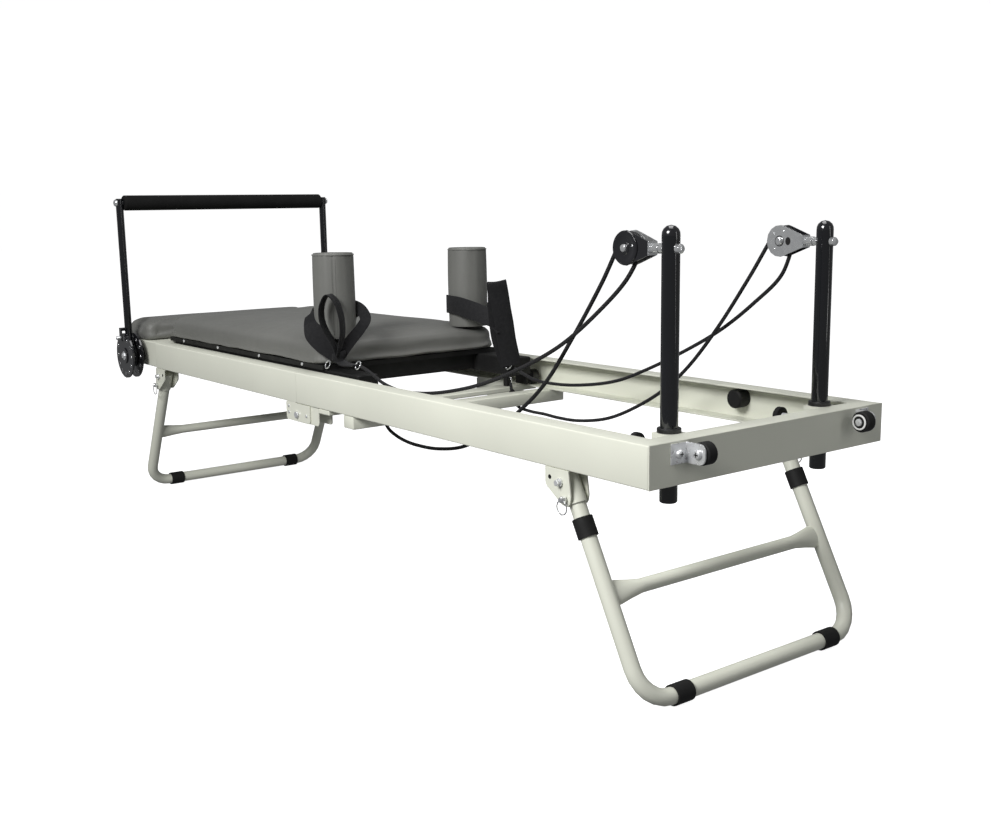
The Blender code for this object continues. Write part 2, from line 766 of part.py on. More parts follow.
def transport_wheel(label, side):
    """An angle bracket on the end beam with a small wheel on the inboard side of its ear."""
    x = HEAD_X + WHEEL_OUT
    base_y = sorted((side * 0.2325, side * 0.272))
    base = box(
        f"wheel_bracket_{label}", (HEAD_X + GAP, base_y[0], 0.449), (HEAD_X + 0.0033, base_y[1], 0.485), "zinc",
        0.001, 1,
    )
    ear = rounded(
        [(HEAD_X + 0.001, 0.449), (x + 0.015, 0.449), (x + 0.015, 0.485), (HEAD_X + 0.001, 0.485)],
        [0, 0.013, 0.013, 0],
        4,
    )
    axle = turned(
        f"wheel_axle_{label}",
        [(0, 0.0200), (0.006, 0.0200), (0.0085, 0.0165), (0.0085, 0.0125), (0.004, 0.0125),
         (0.004, -0.0115), (0.0125, -0.0115), (0.0125, -0.0135), (0.007, -0.0135), (0.007, -0.0165),
         (0, -0.0165)],
        (x, side * WHEEL_Y, WHEEL_Z),
        (0, side, 0),
        sides=12,
    )
    bolt = turned(
        f"wheel_bolt_{label}",
        [(0, 0.006), (0.006, 0.006), (0.0085, 0.003), (0.0085, -0.001), (0, -0.001)],
        (HEAD_X + 0.003, side * 0.254, WHEEL_Z),
        (1, 0, 0),
        sides=12,
    )
    combine(
        base, [plate_xz(f"wheel_ear_{label}", ear, side * 0.2325, side * 0.2355), axle, bolt]
    )
    half_width = 0.0110
    wheel = turned(
        f"transport_wheel_{label}",
        [(0.018, half_width), (WHEEL_R, half_width - 0.002), (WHEEL_R, 0.002 - half_width), (0.018, -half_width),
         (0.0043, -half_width), (0.0043, half_width)],
        (x, side * WHEEL_Y, WHEEL_Z),
        (0, 1, 0),
        "rubber",
        sides=24,
        closed=True,
    )
    pivot(f"transport_wheel_{label}_spin", (x, side * WHEEL_Y, WHEEL_Z), [wheel])


# ---------------------------------------------------------------- carriage
ARM_LOW, ARM_HIGH = 0.205, 0.262
ROLLER_Z = RAIL_BOTTOM + SHEET + GAP + ROLLER_R


def carriage_frame():
    frame = box("carriage_frame", (along(2.125), -0.268, 0.4925), (along(1.175), 0.268, 0.5045), "black_steel")
    pieces = []
    for label, side in SIDES.items():
        ys = sorted((side * ARM_LOW, side * ARM_HIGH))
        pieces.append(
            box(f"arm_{label}", (along(2.100), ys[0], 0.448), (along(ARM_END), ys[1], 0.4935), bevel=0.002, segments=1)
        )
        eye_y = sorted((side * 0.190, side * 0.207))
        pieces.append(box(f"rope_eye_{label}", (along(1.045), eye_y[0], 0.421), (along(1.030), eye_y[1], 0.455)))
        for i, at in enumerate(ROLLERS_AT):
            x = along(at)
            plate_y = sorted((side * 0.2565, side * 0.262))
            pieces.append(
                box(f"roller_plate_{label}_{i}", (x - 0.022, plate_y[0], 0.419), (x + 0.022, plate_y[1], 0.460))
            )
            pieces.append(
                rod(
                    f"roller_axle_{label}_{i}",
                    (x, side * 0.259, ROLLER_Z),
                    (x, side * 0.3075, ROLLER_Z),
                    0.004,
                    sides=12,
                )
            )
    for i, (start, end) in enumerate(((1.190, 1.230), (1.600, 1.640), (2.050, 2.090))):
        pieces.append(box(f"cross_{i}", (along(end), -0.210, 0.452), (along(start), 0.210, 0.4935)))
    for i, y in enumerate(SPRING_YS):
        pieces.append(
            box(f"carriage_eye_{i}", (along(1.640), y - 0.003, SPRING_Z - 0.01), (along(1.626), y + 0.003, 0.46))
        )
    combine(frame, pieces)
    return frame


def carriage():
    pieces = [carriage_frame()]
    outline = rectangle(along(PAD_END), along(PAD_START), -PAD_HALF_WIDTH, PAD_HALF_WIDTH, 0.055, 5)
    pad = slab_xy("carriage_pad", outline, PAD_BOTTOM, PAD_TOP, "vinyl")
    soften = pad.modifiers.new("soften", "BEVEL")
    soften.width = 0.010
    soften.segments = 2
    pieces.append(pad)
    for label, side in SIDES.items():
        x, y = along(SHOULDER_AT), side * SHOULDER_Y
        hole = rod(f"pad_hole_{label}", (x, y, 0.49), (x, y, 0.60), 0.0130, sides=16)
        cut(pad, hole)
        pieces.append(
            turned(
                f"shoulder_rest_{label}",
                [(0, SHOULDER_TOP), (SHOULDER_R - 0.005, SHOULDER_TOP), (SHOULDER_R, SHOULDER_TOP - 0.005),
                 (SHOULDER_R, PAD_TOP + 0.005), (SHOULDER_R - 0.004, PAD_TOP + GAP), (0.012, PAD_TOP + GAP),
                 (0.012, PAD_BOTTOM), (0, PAD_BOTTOM)],
                (x, y, 0),
                (0, 0, 1),
                "vinyl",
                sides=28,
            )
        )
    straps(pieces)
    pivot("carriage_slide", (along(1.65), 0, ROLLER_Z), pieces)
    rollers()
    springs()


def straps(pieces):
    """The hand straps, each as the flat space that its webbing loops fill."""
    loops = [
        (along(1.128), 0.5125),
        (along(1.100), 0.5125),
        (along(1.020), 0.585),
        (along(0.963), 0.624),
        (along(1.037), 0.674),
        (along(1.166), 0.679),
        (along(1.262), 0.643),
        (along(1.290), 0.578),
        (along(1.150), 0.574),
        (along(1.150), 0.530),
    ]
    near = plate_xz("strap_near", rounded(loops, [0.004] * 8 + [0, 0], 2), -0.2705, -0.2645, "webbing")
    band = [(0.1690, 0.466), (0.2170, 0.466), (0.1720, 0.696), (0.1230, 0.693)]
    far = section_yz("strap_far", band, along(1.0125), along(1.0065), "webbing")
    pieces += [near, far]


def rollers():
    ends = ("head", "foot")
    half_width = 0.011
    for label, side in SIDES.items():
        for end, at in zip(ends, ROLLERS_AT):
            centre = (along(at), side * 0.2935, ROLLER_Z)
            wheel = turned(
                f"roller_{end}_{label}",
                [(0.019, half_width), (ROLLER_R, half_width - 0.001), (ROLLER_R, 0.001 - half_width),
                 (0.019, -half_width), (0.0043, -half_width), (0.0043, half_width)],
                centre,
                (0, 1, 0),
                "plastic",
                sides=20,
                closed=True,
            )
            pivot(f"roller_{end}_{label}_spin", centre, [wheel])


def springs():
    """Each spring as the round space that its coils fill, between the two eyes."""
    start = along(RAIL_LENGTH) - GAP + 0.014 + GAP
    end = along(1.640) - GAP
    half = (end - start) / 2
    body = half - 0.018
    for number, y in enumerate(SPRING_YS, 1):
        turned(
            f"spring_{number}",
            [(0, half), (0.0025, half), (0.0025, body + 0.006), (0.012, body), (0.012, -body),
             (0.0025, -body - 0.006), (0.0025, -half), (0, -half)],
            ((start + end) / 2, y, SPRING_Z),
            (1, 0, 0),
            "chrome",
            sides=12,
        )


# ---------------------------------------------------------------- foot bar
INNER_PLATE = (0.335, 0.340)
OUTER_PLATE = (0.364, 0.369)
HUB_R = 0.025
RING_R = 0.056


def adjuster(label, side):
    """A spool of two drilled discs on a hub, bolted to the side of the foot box."""
    x = along(BAR_AT)
    hub = rod(
        f"adjuster_{label}", (x, side * (FOOT_BOX_HALF_WIDTH + GAP), DISC_Z), (x, side * 0.372, DISC_Z), HUB_R,
        "plastic", sides=20,
    )
    discs = []
    for name, (inner, outer) in (("inner", INNER_PLATE), ("outer", OUTER_PLATE)):
        disc = circle(x, DISC_Z, DISC_R, 24)
        discs.append(plate_xz(f"disc_{name}_{label}", disc, side * inner, side * outer))
    combine(hub, discs)
    holes = []
    count = 12
    for i in range(count):
        angle = 2 * math.pi * i / count + math.pi / 2
        hole_x = x + RING_R * math.cos(angle)
        hole_z = DISC_Z + RING_R * math.sin(angle)
        holes.append(
            rod(f"disc_hole_{label}_{i}", (hole_x, side * 0.360, hole_z), (hole_x, side * 0.374, hole_z), 0.004,
                sides=6)
        )
    cut(hub, *holes)


def foot_bar():
    x = along(BAR_AT)
    low = DISC_Z + 0.032
    cap = BAR_TOP_Z + 0.013
    bar = rod("foot_bar", (x, -BAR_Y, low), (x, -BAR_Y, cap), BAR_R, "black_chrome", sides=16)
    bar.modifiers.new("soften", "BEVEL").width = 0.002
    other = rod("upright_far", (x, BAR_Y, low), (x, BAR_Y, cap), BAR_R, sides=16)
    cross = rod("cross_tube", (x, -BAR_Y, BAR_TOP_Z), (x, BAR_Y, BAR_TOP_Z), 0.010, sides=16)
    combine(bar, [cross, other])
    pieces = [bar]
    for label, side in SIDES.items():
        ring = rod(f"bar_ring_{label}", (x, side * 0.342, DISC_Z), (x, side * 0.362, DISC_Z), 0.036, sides=24)
        arm_y = sorted((side * 0.358, side * 0.3785))
        arm = box(f"bar_arm_{label}", (x - 0.009, arm_y[0], DISC_Z + 0.078), (x + 0.009, arm_y[1], DISC_Z + 0.087))
        clip_y = sorted((side * 0.3755, side * 0.3785))
        clip = box(f"bar_clip_{label}", (x - 0.009, clip_y[0], DISC_Z + 0.046), (x + 0.009, clip_y[1], DISC_Z + 0.087))
        combine(bar, [ring, arm, clip])
        hub_hole = rod(
            f"ring_bore_{label}", (x, side * 0.33, DISC_Z), (x, side * 0.3725, DISC_Z), HUB_R + 0.0005, sides=20
        )
        pin_hole = rod(
            f"clip_hole_{label}",
            (x, side * 0.3735, DISC_Z + RING_R),
            (x, side * 0.3800, DISC_Z + RING_R),
            0.0034,
            sides=12,
        )
        cut(bar, hub_hole, pin_hole)
        pin = turned(
            f"bar_pin_{label}",
            [(0, 0.013), (0.005, 0.013), (0.0065, 0.011), (0.0065, 0.0005), (0.003, 0.0005), (0.003, -0.0088),
             (0, -0.0088)],
            (x, side * 0.3785, DISC_Z + RING_R),
            (0, side, 0),
            "chrome",
            sides=12,
        )
        pieces.append(pivot(f"bar_pin_{label}_slide", (x, side * 0.3785, DISC_Z + RING_R), [pin]))
        adjuster(label, side)
    grip_end = BAR_Y - BAR_R - 0.001
    inner = 0.0105
    pieces.append(
        turned(
            "foot_bar_grip",
            [(GRIP_R - 0.003, grip_end), (GRIP_R, grip_end - 0.003), (GRIP_R, 0.003 - grip_end),
             (GRIP_R - 0.003, -grip_end), (inner, -grip_end), (inner, grip_end)],
            (x, 0, BAR_TOP_Z),
            (0, 1, 0),
            "rubber",
            sides=20,
            closed=True,
        )
    )
    pivot("foot_bar_swing", (x, 0, DISC_Z), pieces)


# ---------------------------------------------------------------- ropes
WRAP_R = GROOVE_R + ROPE_R + 0.0018


def wrap(side, steps=7):
    """The stretch over the pulley, from its foot side over the top to its head side."""
    points = []
    for step in range(steps):
        angle = math.radians(139 - 169 * step / (steps - 1))
        points.append(
            (along(PULLEY_AT) + WRAP_R * math.cos(angle), side * POST_Y, PULLEY_Z + WRAP_R * math.sin(angle))
        )
    return points


# Each route runs from the eye on the carriage arm, under and up to the pulley, over it, and
# back down to the hand strap. The numbers are distance from the head end, |y| and height.
ROUTES = {
    "near": (
        [(1.0262, 0.1985, 0.430), (1.0215, 0.198, 0.414), (1.0165, 0.197, 0.394), (1.010, 0.196, 0.376),
         (0.997, 0.195, 0.362), (0.965, 0.194, 0.350), (0.920, 0.193, 0.342), (0.870, 0.192, 0.340),
         (0.800, 0.192, 0.344), (0.700, 0.192, 0.364), (0.600, 0.193, 0.410), (0.500, 0.194, 0.468),
         (0.415, 0.196, 0.534), (0.331, 0.198, 0.629), (0.241, 0.203, 0.740)],
        [(0.168, 0.212, 0.748), (0.241, 0.217, 0.684), (0.331, 0.221, 0.622), (0.430, 0.224, 0.574),
         (0.560, 0.227, 0.525), (0.680, 0.230, 0.494), (0.790, 0.232, 0.476), (0.880, 0.234, 0.472),
         (0.950, 0.236, 0.482), (1.005, 0.238, 0.502), (1.0437, 0.240, 0.5135)],
    ),
    "far": (
        [(1.0262, 0.1985, 0.430), (1.0215, 0.198, 0.414), (1.0165, 0.197, 0.398), (1.008, 0.197, 0.382),
         (0.990, 0.197, 0.371), (0.940, 0.196, 0.366), (0.890, 0.196, 0.366), (0.833, 0.195, 0.364),
         (0.755, 0.194, 0.367), (0.650, 0.194, 0.387), (0.550, 0.194, 0.429), (0.470, 0.195, 0.476),
         (0.400, 0.196, 0.533), (0.320, 0.199, 0.624), (0.241, 0.203, 0.732)],
        [(0.168, 0.212, 0.737), (0.241, 0.217, 0.677), (0.331, 0.220, 0.616), (0.433, 0.219, 0.562),
         (0.540, 0.216, 0.513), (0.640, 0.212, 0.475), (0.755, 0.206, 0.453), (0.850, 0.200, 0.446),
         (0.930, 0.196, 0.450), (1.0002, 0.193, 0.4705)],
    ),
}


def ropes():
    for label, side in SIDES.items():
        up, down = ROUTES[label]
        route = [(along(d), side * y, z) for d, y, z in up]
        route += wrap(side)
        route += [(along(d), side * y, z) for d, y, z in down]
        centre = (along(PULLEY_AT), side * POST_Y, PULLEY_Z)
        points = thinned(smooth_route(route), centre, 0.035, 0.007, 0.033)
        tube(f"rope_{label}", points, ROPE_R, "webbing", resolution=2)


rails()
end_beam()
foot_box()
cross_members()
roller_stops()
bumpers()
legs()
posts()
carriage()
foot_bar()
ropes()
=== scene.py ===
import math

import bmesh
import bpy
from mathutils import Matrix, Vector, noise


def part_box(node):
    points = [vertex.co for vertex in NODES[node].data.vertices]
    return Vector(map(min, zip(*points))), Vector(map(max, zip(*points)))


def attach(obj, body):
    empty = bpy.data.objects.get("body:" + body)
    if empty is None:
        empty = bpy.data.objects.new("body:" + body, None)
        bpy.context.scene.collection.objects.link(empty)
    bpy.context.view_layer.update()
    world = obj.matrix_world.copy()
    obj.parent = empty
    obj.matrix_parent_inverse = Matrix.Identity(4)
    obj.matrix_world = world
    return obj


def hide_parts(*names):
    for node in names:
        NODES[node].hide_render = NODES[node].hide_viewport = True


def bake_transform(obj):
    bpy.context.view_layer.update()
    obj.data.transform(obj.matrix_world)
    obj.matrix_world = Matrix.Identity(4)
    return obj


# The looks of a pilates reformer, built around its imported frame. Metres, +Z up, +X towards
# the pulley end. "d" is a distance back from the outer face of the head end beam.
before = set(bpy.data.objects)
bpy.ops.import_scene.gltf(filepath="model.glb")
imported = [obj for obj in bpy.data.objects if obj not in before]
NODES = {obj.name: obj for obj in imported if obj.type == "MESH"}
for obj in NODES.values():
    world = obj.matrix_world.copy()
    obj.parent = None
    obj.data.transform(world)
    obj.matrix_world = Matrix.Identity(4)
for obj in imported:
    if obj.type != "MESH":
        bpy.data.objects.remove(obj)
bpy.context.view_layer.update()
HEAD_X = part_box("end_beam_head")[1].x
SIDES = {"near": -1, "far": 1}
TAU = 2 * math.pi


def along(d):
    return HEAD_X - d


def circle(k, count):
    """Cosine and sine at step k of count round a circle."""
    angle = TAU * k / count
    return math.cos(angle), math.sin(angle)


# ---------------------------------------------------------------- camera, light, floor
CAMERA_AT = Vector((HEAD_X + 1.3415, -1.6609, 0.8747))
CAMERA_YAW, CAMERA_PITCH, CAMERA_ROLL = (math.radians(a) for a in (52.627, 10.208, -0.933))
CAMERA_LENS, SENSOR = 42.56, 36.0


def make_camera():
    ahead = Vector(
        (
            -math.sin(CAMERA_YAW) * math.cos(CAMERA_PITCH),
            math.cos(CAMERA_YAW) * math.cos(CAMERA_PITCH),
            -math.sin(CAMERA_PITCH),
        )
    )
    level = Vector((math.cos(CAMERA_YAW), math.sin(CAMERA_YAW), 0))
    upward = level.cross(ahead)
    right = level * math.cos(CAMERA_ROLL) + upward * math.sin(CAMERA_ROLL)
    up = upward * math.cos(CAMERA_ROLL) - level * math.sin(CAMERA_ROLL)
    data = bpy.data.cameras.new("camera")
    data.sensor_width = SENSOR
    data.lens = CAMERA_LENS
    camera = bpy.data.objects.new("camera", data)
    turn = Matrix((right, up, -ahead)).transposed().to_4x4()
    camera.matrix_world = Matrix.Translation(CAMERA_AT) @ turn
    bpy.context.scene.collection.objects.link(camera)
    bpy.context.scene.camera = camera


def make_light(name, at, target, size, power):
    data = bpy.data.lights.new(name, "AREA")
    data.shape = "RECTANGLE"
    data.size, data.size_y = size
    data.energy = power
    light = bpy.data.objects.new(name, data)
    light.location = at
    light.rotation_euler = (Vector(target) - Vector(at)).to_track_quat("-Z", "Y").to_euler()
    bpy.context.scene.collection.objects.link(light)


def make_studio():
    make_camera()
    make_light("key", (1.15, -3.0, 2.5), (0.6, 0, 0.4), (1.6, 1.2), 140)
    make_light("top", (0.5, 0.3, 3.2), (0.2, 0, 0.4), (2.4, 1.4), 36)
    make_light("streak", (3.4, 0.9, 1.2), (0.6, 0, 0.5), (0.25, 1.8), 5)
    world = bpy.data.worlds.new("studio")
    bpy.context.scene.world = world
    world.use_nodes = True
    sky = world.node_tree.nodes["Background"]
    sky.inputs["Color"].default_value = (0.97, 0.985, 1.0, 1.0)
    sky.inputs["Strength"].default_value = 0.18
    bpy.context.scene.view_settings.view_transform = "Standard"


# ---------------------------------------------------------------- materials
class Shade:
    """A Principled material under construction."""

    def __init__(self, name, **fixed):
        self.material = bpy.data.materials.new(name)
        self.material.use_nodes = True
        self.tree = self.material.node_tree
        self.shader = self.tree.nodes["Principled BSDF"]
        for key, value in fixed.items():
            socket = key.replace("_", " ").title().replace("Ior", "IOR")
            self.shader.inputs[socket].default_value = value
        self.place = self.tree.nodes.new("ShaderNodeTexCoord").outputs
        self.normal = None

    def link(self, source, target):
        self.tree.links.new(source, target)

    def node(self, kind, **values):
        made = self.tree.nodes.new("ShaderNode" + kind)
        for name, value in values.items():
            made.inputs[name].default_value = value
        return made

    def noise(self, scale, detail=3.0, stretch=None, rough=0.5):
        made = self.node("TexNoise", Scale=scale, Detail=detail, Roughness=rough)
        source = self.place["Object"]
        if stretch:
            mapping = self.node("Mapping", Scale=stretch)
            self.link(source, mapping.inputs["Vector"])
            source = mapping.outputs["Vector"]
        self.link(source, made.inputs["Vector"])
        return made.outputs["Fac"]

    def cells(self, scale):
        made = self.node("TexVoronoi", Scale=scale)
        made.feature = "SMOOTH_F1"
        self.link(self.place["Object"], made.inputs["Vector"])
        return made.outputs["Distance"]

    def math(self, operation, *values):
        made = self.tree.nodes.new("ShaderNodeMath")
        made.operation = operation
        for i, value in enumerate(values):
            if isinstance(value, (int, float)):
                made.inputs[i].default_value = value
            else:
                self.link(value, made.inputs[i])
        return made.outputs[0]

    def spread(self, source, low, high, start=0.3, end=0.7):
        made = self.tree.nodes.new("ShaderNodeMapRange")
        for i, value in enumerate((start, end, low, high), 1):
            made.inputs[i].default_value = value
        self.link(source, made.inputs[0])
        return made.outputs[0]

    def colours(self, first, second, share):
        made = self.tree.nodes.new("ShaderNodeMix")
        made.data_type = "RGBA"
        made.inputs["A"].default_value = (*first, 1)
        made.inputs["B"].default_value = (*second, 1)
        self.link(share, made.inputs["Factor"])
        self.link(made.outputs["Result"], self.shader.inputs["Base Color"])

    def roughness(self, source, low, high):
        self.link(self.spread(source, low, high), self.shader.inputs["Roughness"])

    def edges(self, radius):
        made = self.node("Bevel", Radius=radius)
        made.samples = 4
        self.normal = made.outputs["Normal"]
        self.link(self.normal, self.shader.inputs["Normal"])

    def bump(self, height, strength, distance):
        made = self.node("Bump", Strength=strength, Distance=distance)
        self.link(height, made.inputs["Height"])
        if self.normal is not None:
            self.link(self.normal, made.inputs["Normal"])
        self.normal = made.outputs["Normal"]
        self.link(self.normal, self.shader.inputs["Normal"])


def mixed(colour, amount):
    return tuple(min(1.0, c * amount) for c in colour)


def powder_coat():
    cream = (0.735, 0.745, 0.645)
    shade = Shade("cream_powder_coat", coat_weight=0.25, coat_roughness=0.3)
    patches = shade.noise(3.0, 5.0)
    shade.colours(mixed(cream, 0.955), mixed(cream, 1.035), shade.spread(patches, 0, 1))
    shade.roughness(shade.noise(14.0, 4.0), 0.33, 0.44)
    shade.edges(0.0018)
    shade.bump(shade.noise(420.0, 2.0), 0.12, 0.0006)
    return shade.material


def black_chrome():
    shade = Shade(
        "black_chrome", metallic=0.0, coat_weight=0.7, coat_roughness=0.03, specular_ior_level=0.5
    )
    patches = shade.spread(shade.noise(6.0), 0, 1)
    shade.colours((0.003, 0.0035, 0.005), (0.006, 0.0065, 0.008), patches)
    shade.roughness(shade.noise(40.0, 5.0, (1, 1, 0.15)), 0.05, 0.13)
    shade.edges(0.0008)
    return shade.material


def plated(name, colour, low, high, metallic, fine=60.0):
    shade = Shade(name, metallic=metallic)
    patches = shade.spread(shade.noise(fine, 4.0), 0, 1)
    shade.colours(mixed(colour, 0.94), mixed(colour, 1.03), patches)
    shade.roughness(shade.noise(fine * 2, 4.0), low, high)
    shade.edges(0.0006)
    shade.bump(shade.noise(700.0, 2.0), 0.05, 0.0002)
    return shade.material


def vinyl():
    grey = (0.140, 0.141, 0.131)
    shade = Shade("grey_vinyl", sheen_weight=0.12, sheen_roughness=0.4, specular_ior_level=0.45)
    patches = shade.spread(shade.noise(5.0, 6.0), 0, 1)
    shade.colours(mixed(grey, 0.93), mixed(grey, 1.08), patches)
    shade.roughness(shade.noise(30.0, 4.0), 0.48, 0.6)
    shade.bump(shade.cells(620.0), 0.22, 0.0005)
    shade.bump(shade.noise(60.0, 4.0), 0.12, 0.0016)
    return shade.material


def moulding(name, colour, low, high, grain=300.0, strength=0.15, edge=0.001, **fixed):
    shade = Shade(name, **fixed)
    patches = shade.spread(shade.noise(20.0, 5.0), 0, 1)
    shade.colours(mixed(colour, 0.8), mixed(colour, 1.25), patches)
    shade.roughness(shade.noise(45.0, 4.0), low, high)
    shade.edges(edge)
    shade.bump(shade.noise(grain, 3.0), strength, 0.0005)
    return shade.material


def woven():
    """Webbing: threads both ways across the piece's UV map, which is in metres. Its colour is
    painted shade in the hollows between the threads and painted light on their crests.
    """
    black = (0.0075, 0.0075, 0.0085)
    warp_pitch, weft_pitch = 0.0028, 0.0032
    shade = Shade("black_webbing", sheen_weight=0.06, sheen_roughness=0.5, specular_ior_level=0.25)
    split = shade.tree.nodes.new("ShaderNodeSeparateXYZ")
    shade.link(shade.place["UV"], split.inputs[0])
    across, run = split.outputs[0], split.outputs[1]
    warp = shade.math("SINE", shade.math("MULTIPLY", across, TAU / warp_pitch))
    weft = shade.math("SINE", shade.math("MULTIPLY", run, TAU / weft_pitch))
    weave_relief_and_shade = shade.math("MULTIPLY", warp, weft)
    # Darker in the hollows between threads and lighter on their crests: painted shade and painted
    # light.
    shade.colours(mixed(black, 0.7), mixed(black, 1.7), shade.spread(weave_relief_and_shade, 0, 1, -1, 1))
    shade.roughness(shade.noise(120.0), 0.75, 0.92)
    shade.bump(weave_relief_and_shade, 0.6, 0.0007)
    return shade.material


def braid():
    """Rope: two crossing sets of strand windings, from a UV map of turns round it and metres along
    it. Its colour is painted shade between the windings and painted light on them.
    """
    black = (0.008, 0.008, 0.009)
    strands_round, strand_pitch = 4, 0.007
    shade = Shade("black_braid", sheen_weight=0.05, sheen_roughness=0.5, specular_ior_level=0.3)
    split = shade.tree.nodes.new("ShaderNodeSeparateXYZ")
    shade.link(shade.place["UV"], split.inputs[0])
    turns = shade.math("MULTIPLY", split.outputs[0], TAU * strands_round)
    run = shade.math("MULTIPLY", split.outputs[1], TAU / strand_pitch)
    left = shade.math("SINE", shade.math("ADD", turns, run))
    right = shade.math("SINE", shade.math("SUBTRACT", turns, run))
    strand_relief_and_shade = shade.math("MAXIMUM", left, right)
    # Darker in the grooves between the windings and lighter on them: painted shade and painted
    # light.
    shade.colours(mixed(black, 0.6), mixed(black, 1.6), shade.spread(strand_relief_and_shade, 0, 1, -0.5, 1))
    shade.roughness(shade.noise(200.0), 0.6, 0.8)
    shade.bump(strand_relief_and_shade, 0.7, 0.0006)
    return shade.material


CREAM = powder_coat()
BLACK_CHROME = black_chrome()
CHROME = plated("chrome", (0.90, 0.91, 0.92), 0.08, 0.2, 0.86)
ZINC = plated("zinc", (0.80, 0.81, 0.82), 0.24, 0.38, 0.62)
VINYL = vinyl()
RUBBER = moulding(
    "rubber", (0.009, 0.009, 0.009), 0.6, 0.75, 260.0, 0.25, specular_ior_level=0.3
)
FOAM = moulding(
    "foam", (0.0065, 0.0065, 0.0065), 0.85, 0.97, 900.0, 0.6, 0.003, specular_ior_level=0.2
)
NYLON = moulding("nylon", (0.014, 0.014, 0.014), 0.35, 0.5, 500.0, 0.08)
GLOSS = moulding(
    "gloss_black", (0.008, 0.008, 0.01), 0.1, 0.2, 90.0, 0.05, coat_weight=0.8, coat_roughness=0.06
)
# Black paint on the carriage frame and the wheel hubs' faces; the same black is painted shade in
# screw recesses, bracket holes and pulley slots.
BLACK_PAINT_AND_SHADE = moulding(
    "black_paint_and_shade", (0.008, 0.008, 0.008), 0.5, 0.65, 350.0, 0.15, specular_ior_level=0.3
)
WEBBING = woven()
BRAID = braid()
WHITE_HUB = moulding("white_hub", (0.72, 0.72, 0.70), 0.4, 0.5, 300.0, 0.05)


# ---------------------------------------------------------------- mesh tools
def smoothed(mesh, angle=38):
    mesh.shade_smooth()
    mesh.set_sharp_from_angle(angle=math.radians(angle))


def piece(name, bm, material, body=None, angle=38):
    """The bmesh as a named object that rides on a body."""
    bmesh.ops.recalc_face_normals(bm, faces=bm.faces)
    mesh = bpy.data.meshes.new(name)
    bm.to_mesh(mesh)
    bm.free()
    mesh.materials.append(material)
    smoothed(mesh, angle)
    obj = bpy.data.objects.new(name, mesh)
    bpy.context.scene.collection.objects.link(obj)
    if body:
        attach(obj, body)
    return obj


def add_loft(bm, rings, closed=False, uv=None):
    """Rings of points joined into a skin. uv gives (u, v) for ring i and point j."""
    layer = bm.loops.layers.uv.verify()
    verts = [[bm.verts.new(co) for co in ring] for ring in rings]
    count, size = len(verts), len(verts[0])
    for i in range(count if closed else count - 1):
        for j in range(size):
            corners = ((i, j), (i, j + 1), (i + 1, j + 1), (i + 1, j))
            face = bm.faces.new([verts[a % count][b % size] for a, b in corners])
            if uv:
                for loop, (a, b) in zip(face.loops, corners):
                    loop[layer].uv = uv(a, b)
    if not closed:
        bm.faces.new(verts[0][::-1])
        bm.faces.new(verts[-1])


def add_lathe(bm, profile, centre, axis=(0, 0, 1), sides=40):
    """(radius, height) pairs turned round an axis, with a cap over each end."""
    turn = Vector(axis).to_track_quat("Z", "Y")
    centre = Vector(centre)
    rings = []
    for radius, height in profile:
        ring = []
        for k in range(sides):
            c, s = circle(k, sides)
            ring.append(centre + turn @ Vector((radius * c, radius * s, height)))
        rings.append(ring)
    add_loft(bm, rings)


def add_ring(bm, profile, centre, axis=(0, 0, 1), sides=40):
    """A closed (radius, height) section turned round an axis."""
    turn = Vector(axis).to_track_quat("Z", "Y")
    centre = Vector(centre)
    rings = []
    for k in range(sides):
        c, s = circle(k, sides)
        rings.append([centre + turn @ Vector((r * c, r * s, height)) for r, height in profile])
    add_loft(bm, rings, closed=True)


def run_of(points):
    run = [0.0]
    for first, second in zip(points, points[1:]):
        run.append(run[-1] + (second - first).length)
    return run


def add_tube(bm, points, radius, sides=12, closed=False):
    """A round skin along a line of points, on frames carried from point to point."""
    points = [Vector(p) for p in points]
    count = len(points)
    run = run_of(points)
    side = None
    rings = []
    for i, point in enumerate(points):
        if closed:
            tangent = points[(i + 1) % count] - points[i - 1]
        else:
            tangent = points[min(i + 1, count - 1)] - points[max(i - 1, 0)]
        tangent.normalize()
        if side is None:
            side = tangent.orthogonal().normalized()
        side = (side - tangent * side.dot(tangent)).normalized()
        other = tangent.cross(side)
        r = radius(i / (count - 1)) if callable(radius) else radius
        ring = []
        for k in range(sides):
            c, s = circle(k, sides)
            ring.append(point + side * (r * c) + other * (r * s))
        rings.append(ring)
    add_loft(bm, rings, closed, uv=lambda i, j: (j / sides, run[min(i, count - 1)]))


def spline(points, per_span=10, closed=False):
    """Points on a smooth curve (centripetal Catmull-Rom) through vectors of any size."""
    points = [Vector(p) for p in points]
    if closed:
        ends = [points[-1], *points, points[0], points[1]]
    else:
        ends = [2 * points[0] - points[1], *points, 2 * points[-1] - points[-2]]
    dense = []
    for p0, p1, p2, p3 in zip(ends, ends[1:], ends[2:], ends[3:]):
        spans = ((p0, p1), (p1, p2), (p2, p3))
        k1, k2, k3 = (max(1e-6, math.sqrt((b - a).length)) for a, b in spans)
        m1 = (p1 - p0) / k1 - (p2 - p0) / (k1 + k2) + (p2 - p1) / k2
        m2 = (p2 - p1) / k2 - (p3 - p1) / (k2 + k3) + (p3 - p2) / k3
        for step in range(per_span):
            t = step / per_span
            h1 = 2 * t**3 - 3 * t**2 + 1
            h2 = t**3 - 2 * t**2 + t
            h3 = 3 * t**2 - 2 * t**3
            h4 = t**3 - t**2
            dense.append(h1 * p1 + h2 * k2 * m1 + h3 * p2 + h4 * k2 * m2)
    if not closed:
        dense.append(points[-1])
    return dense


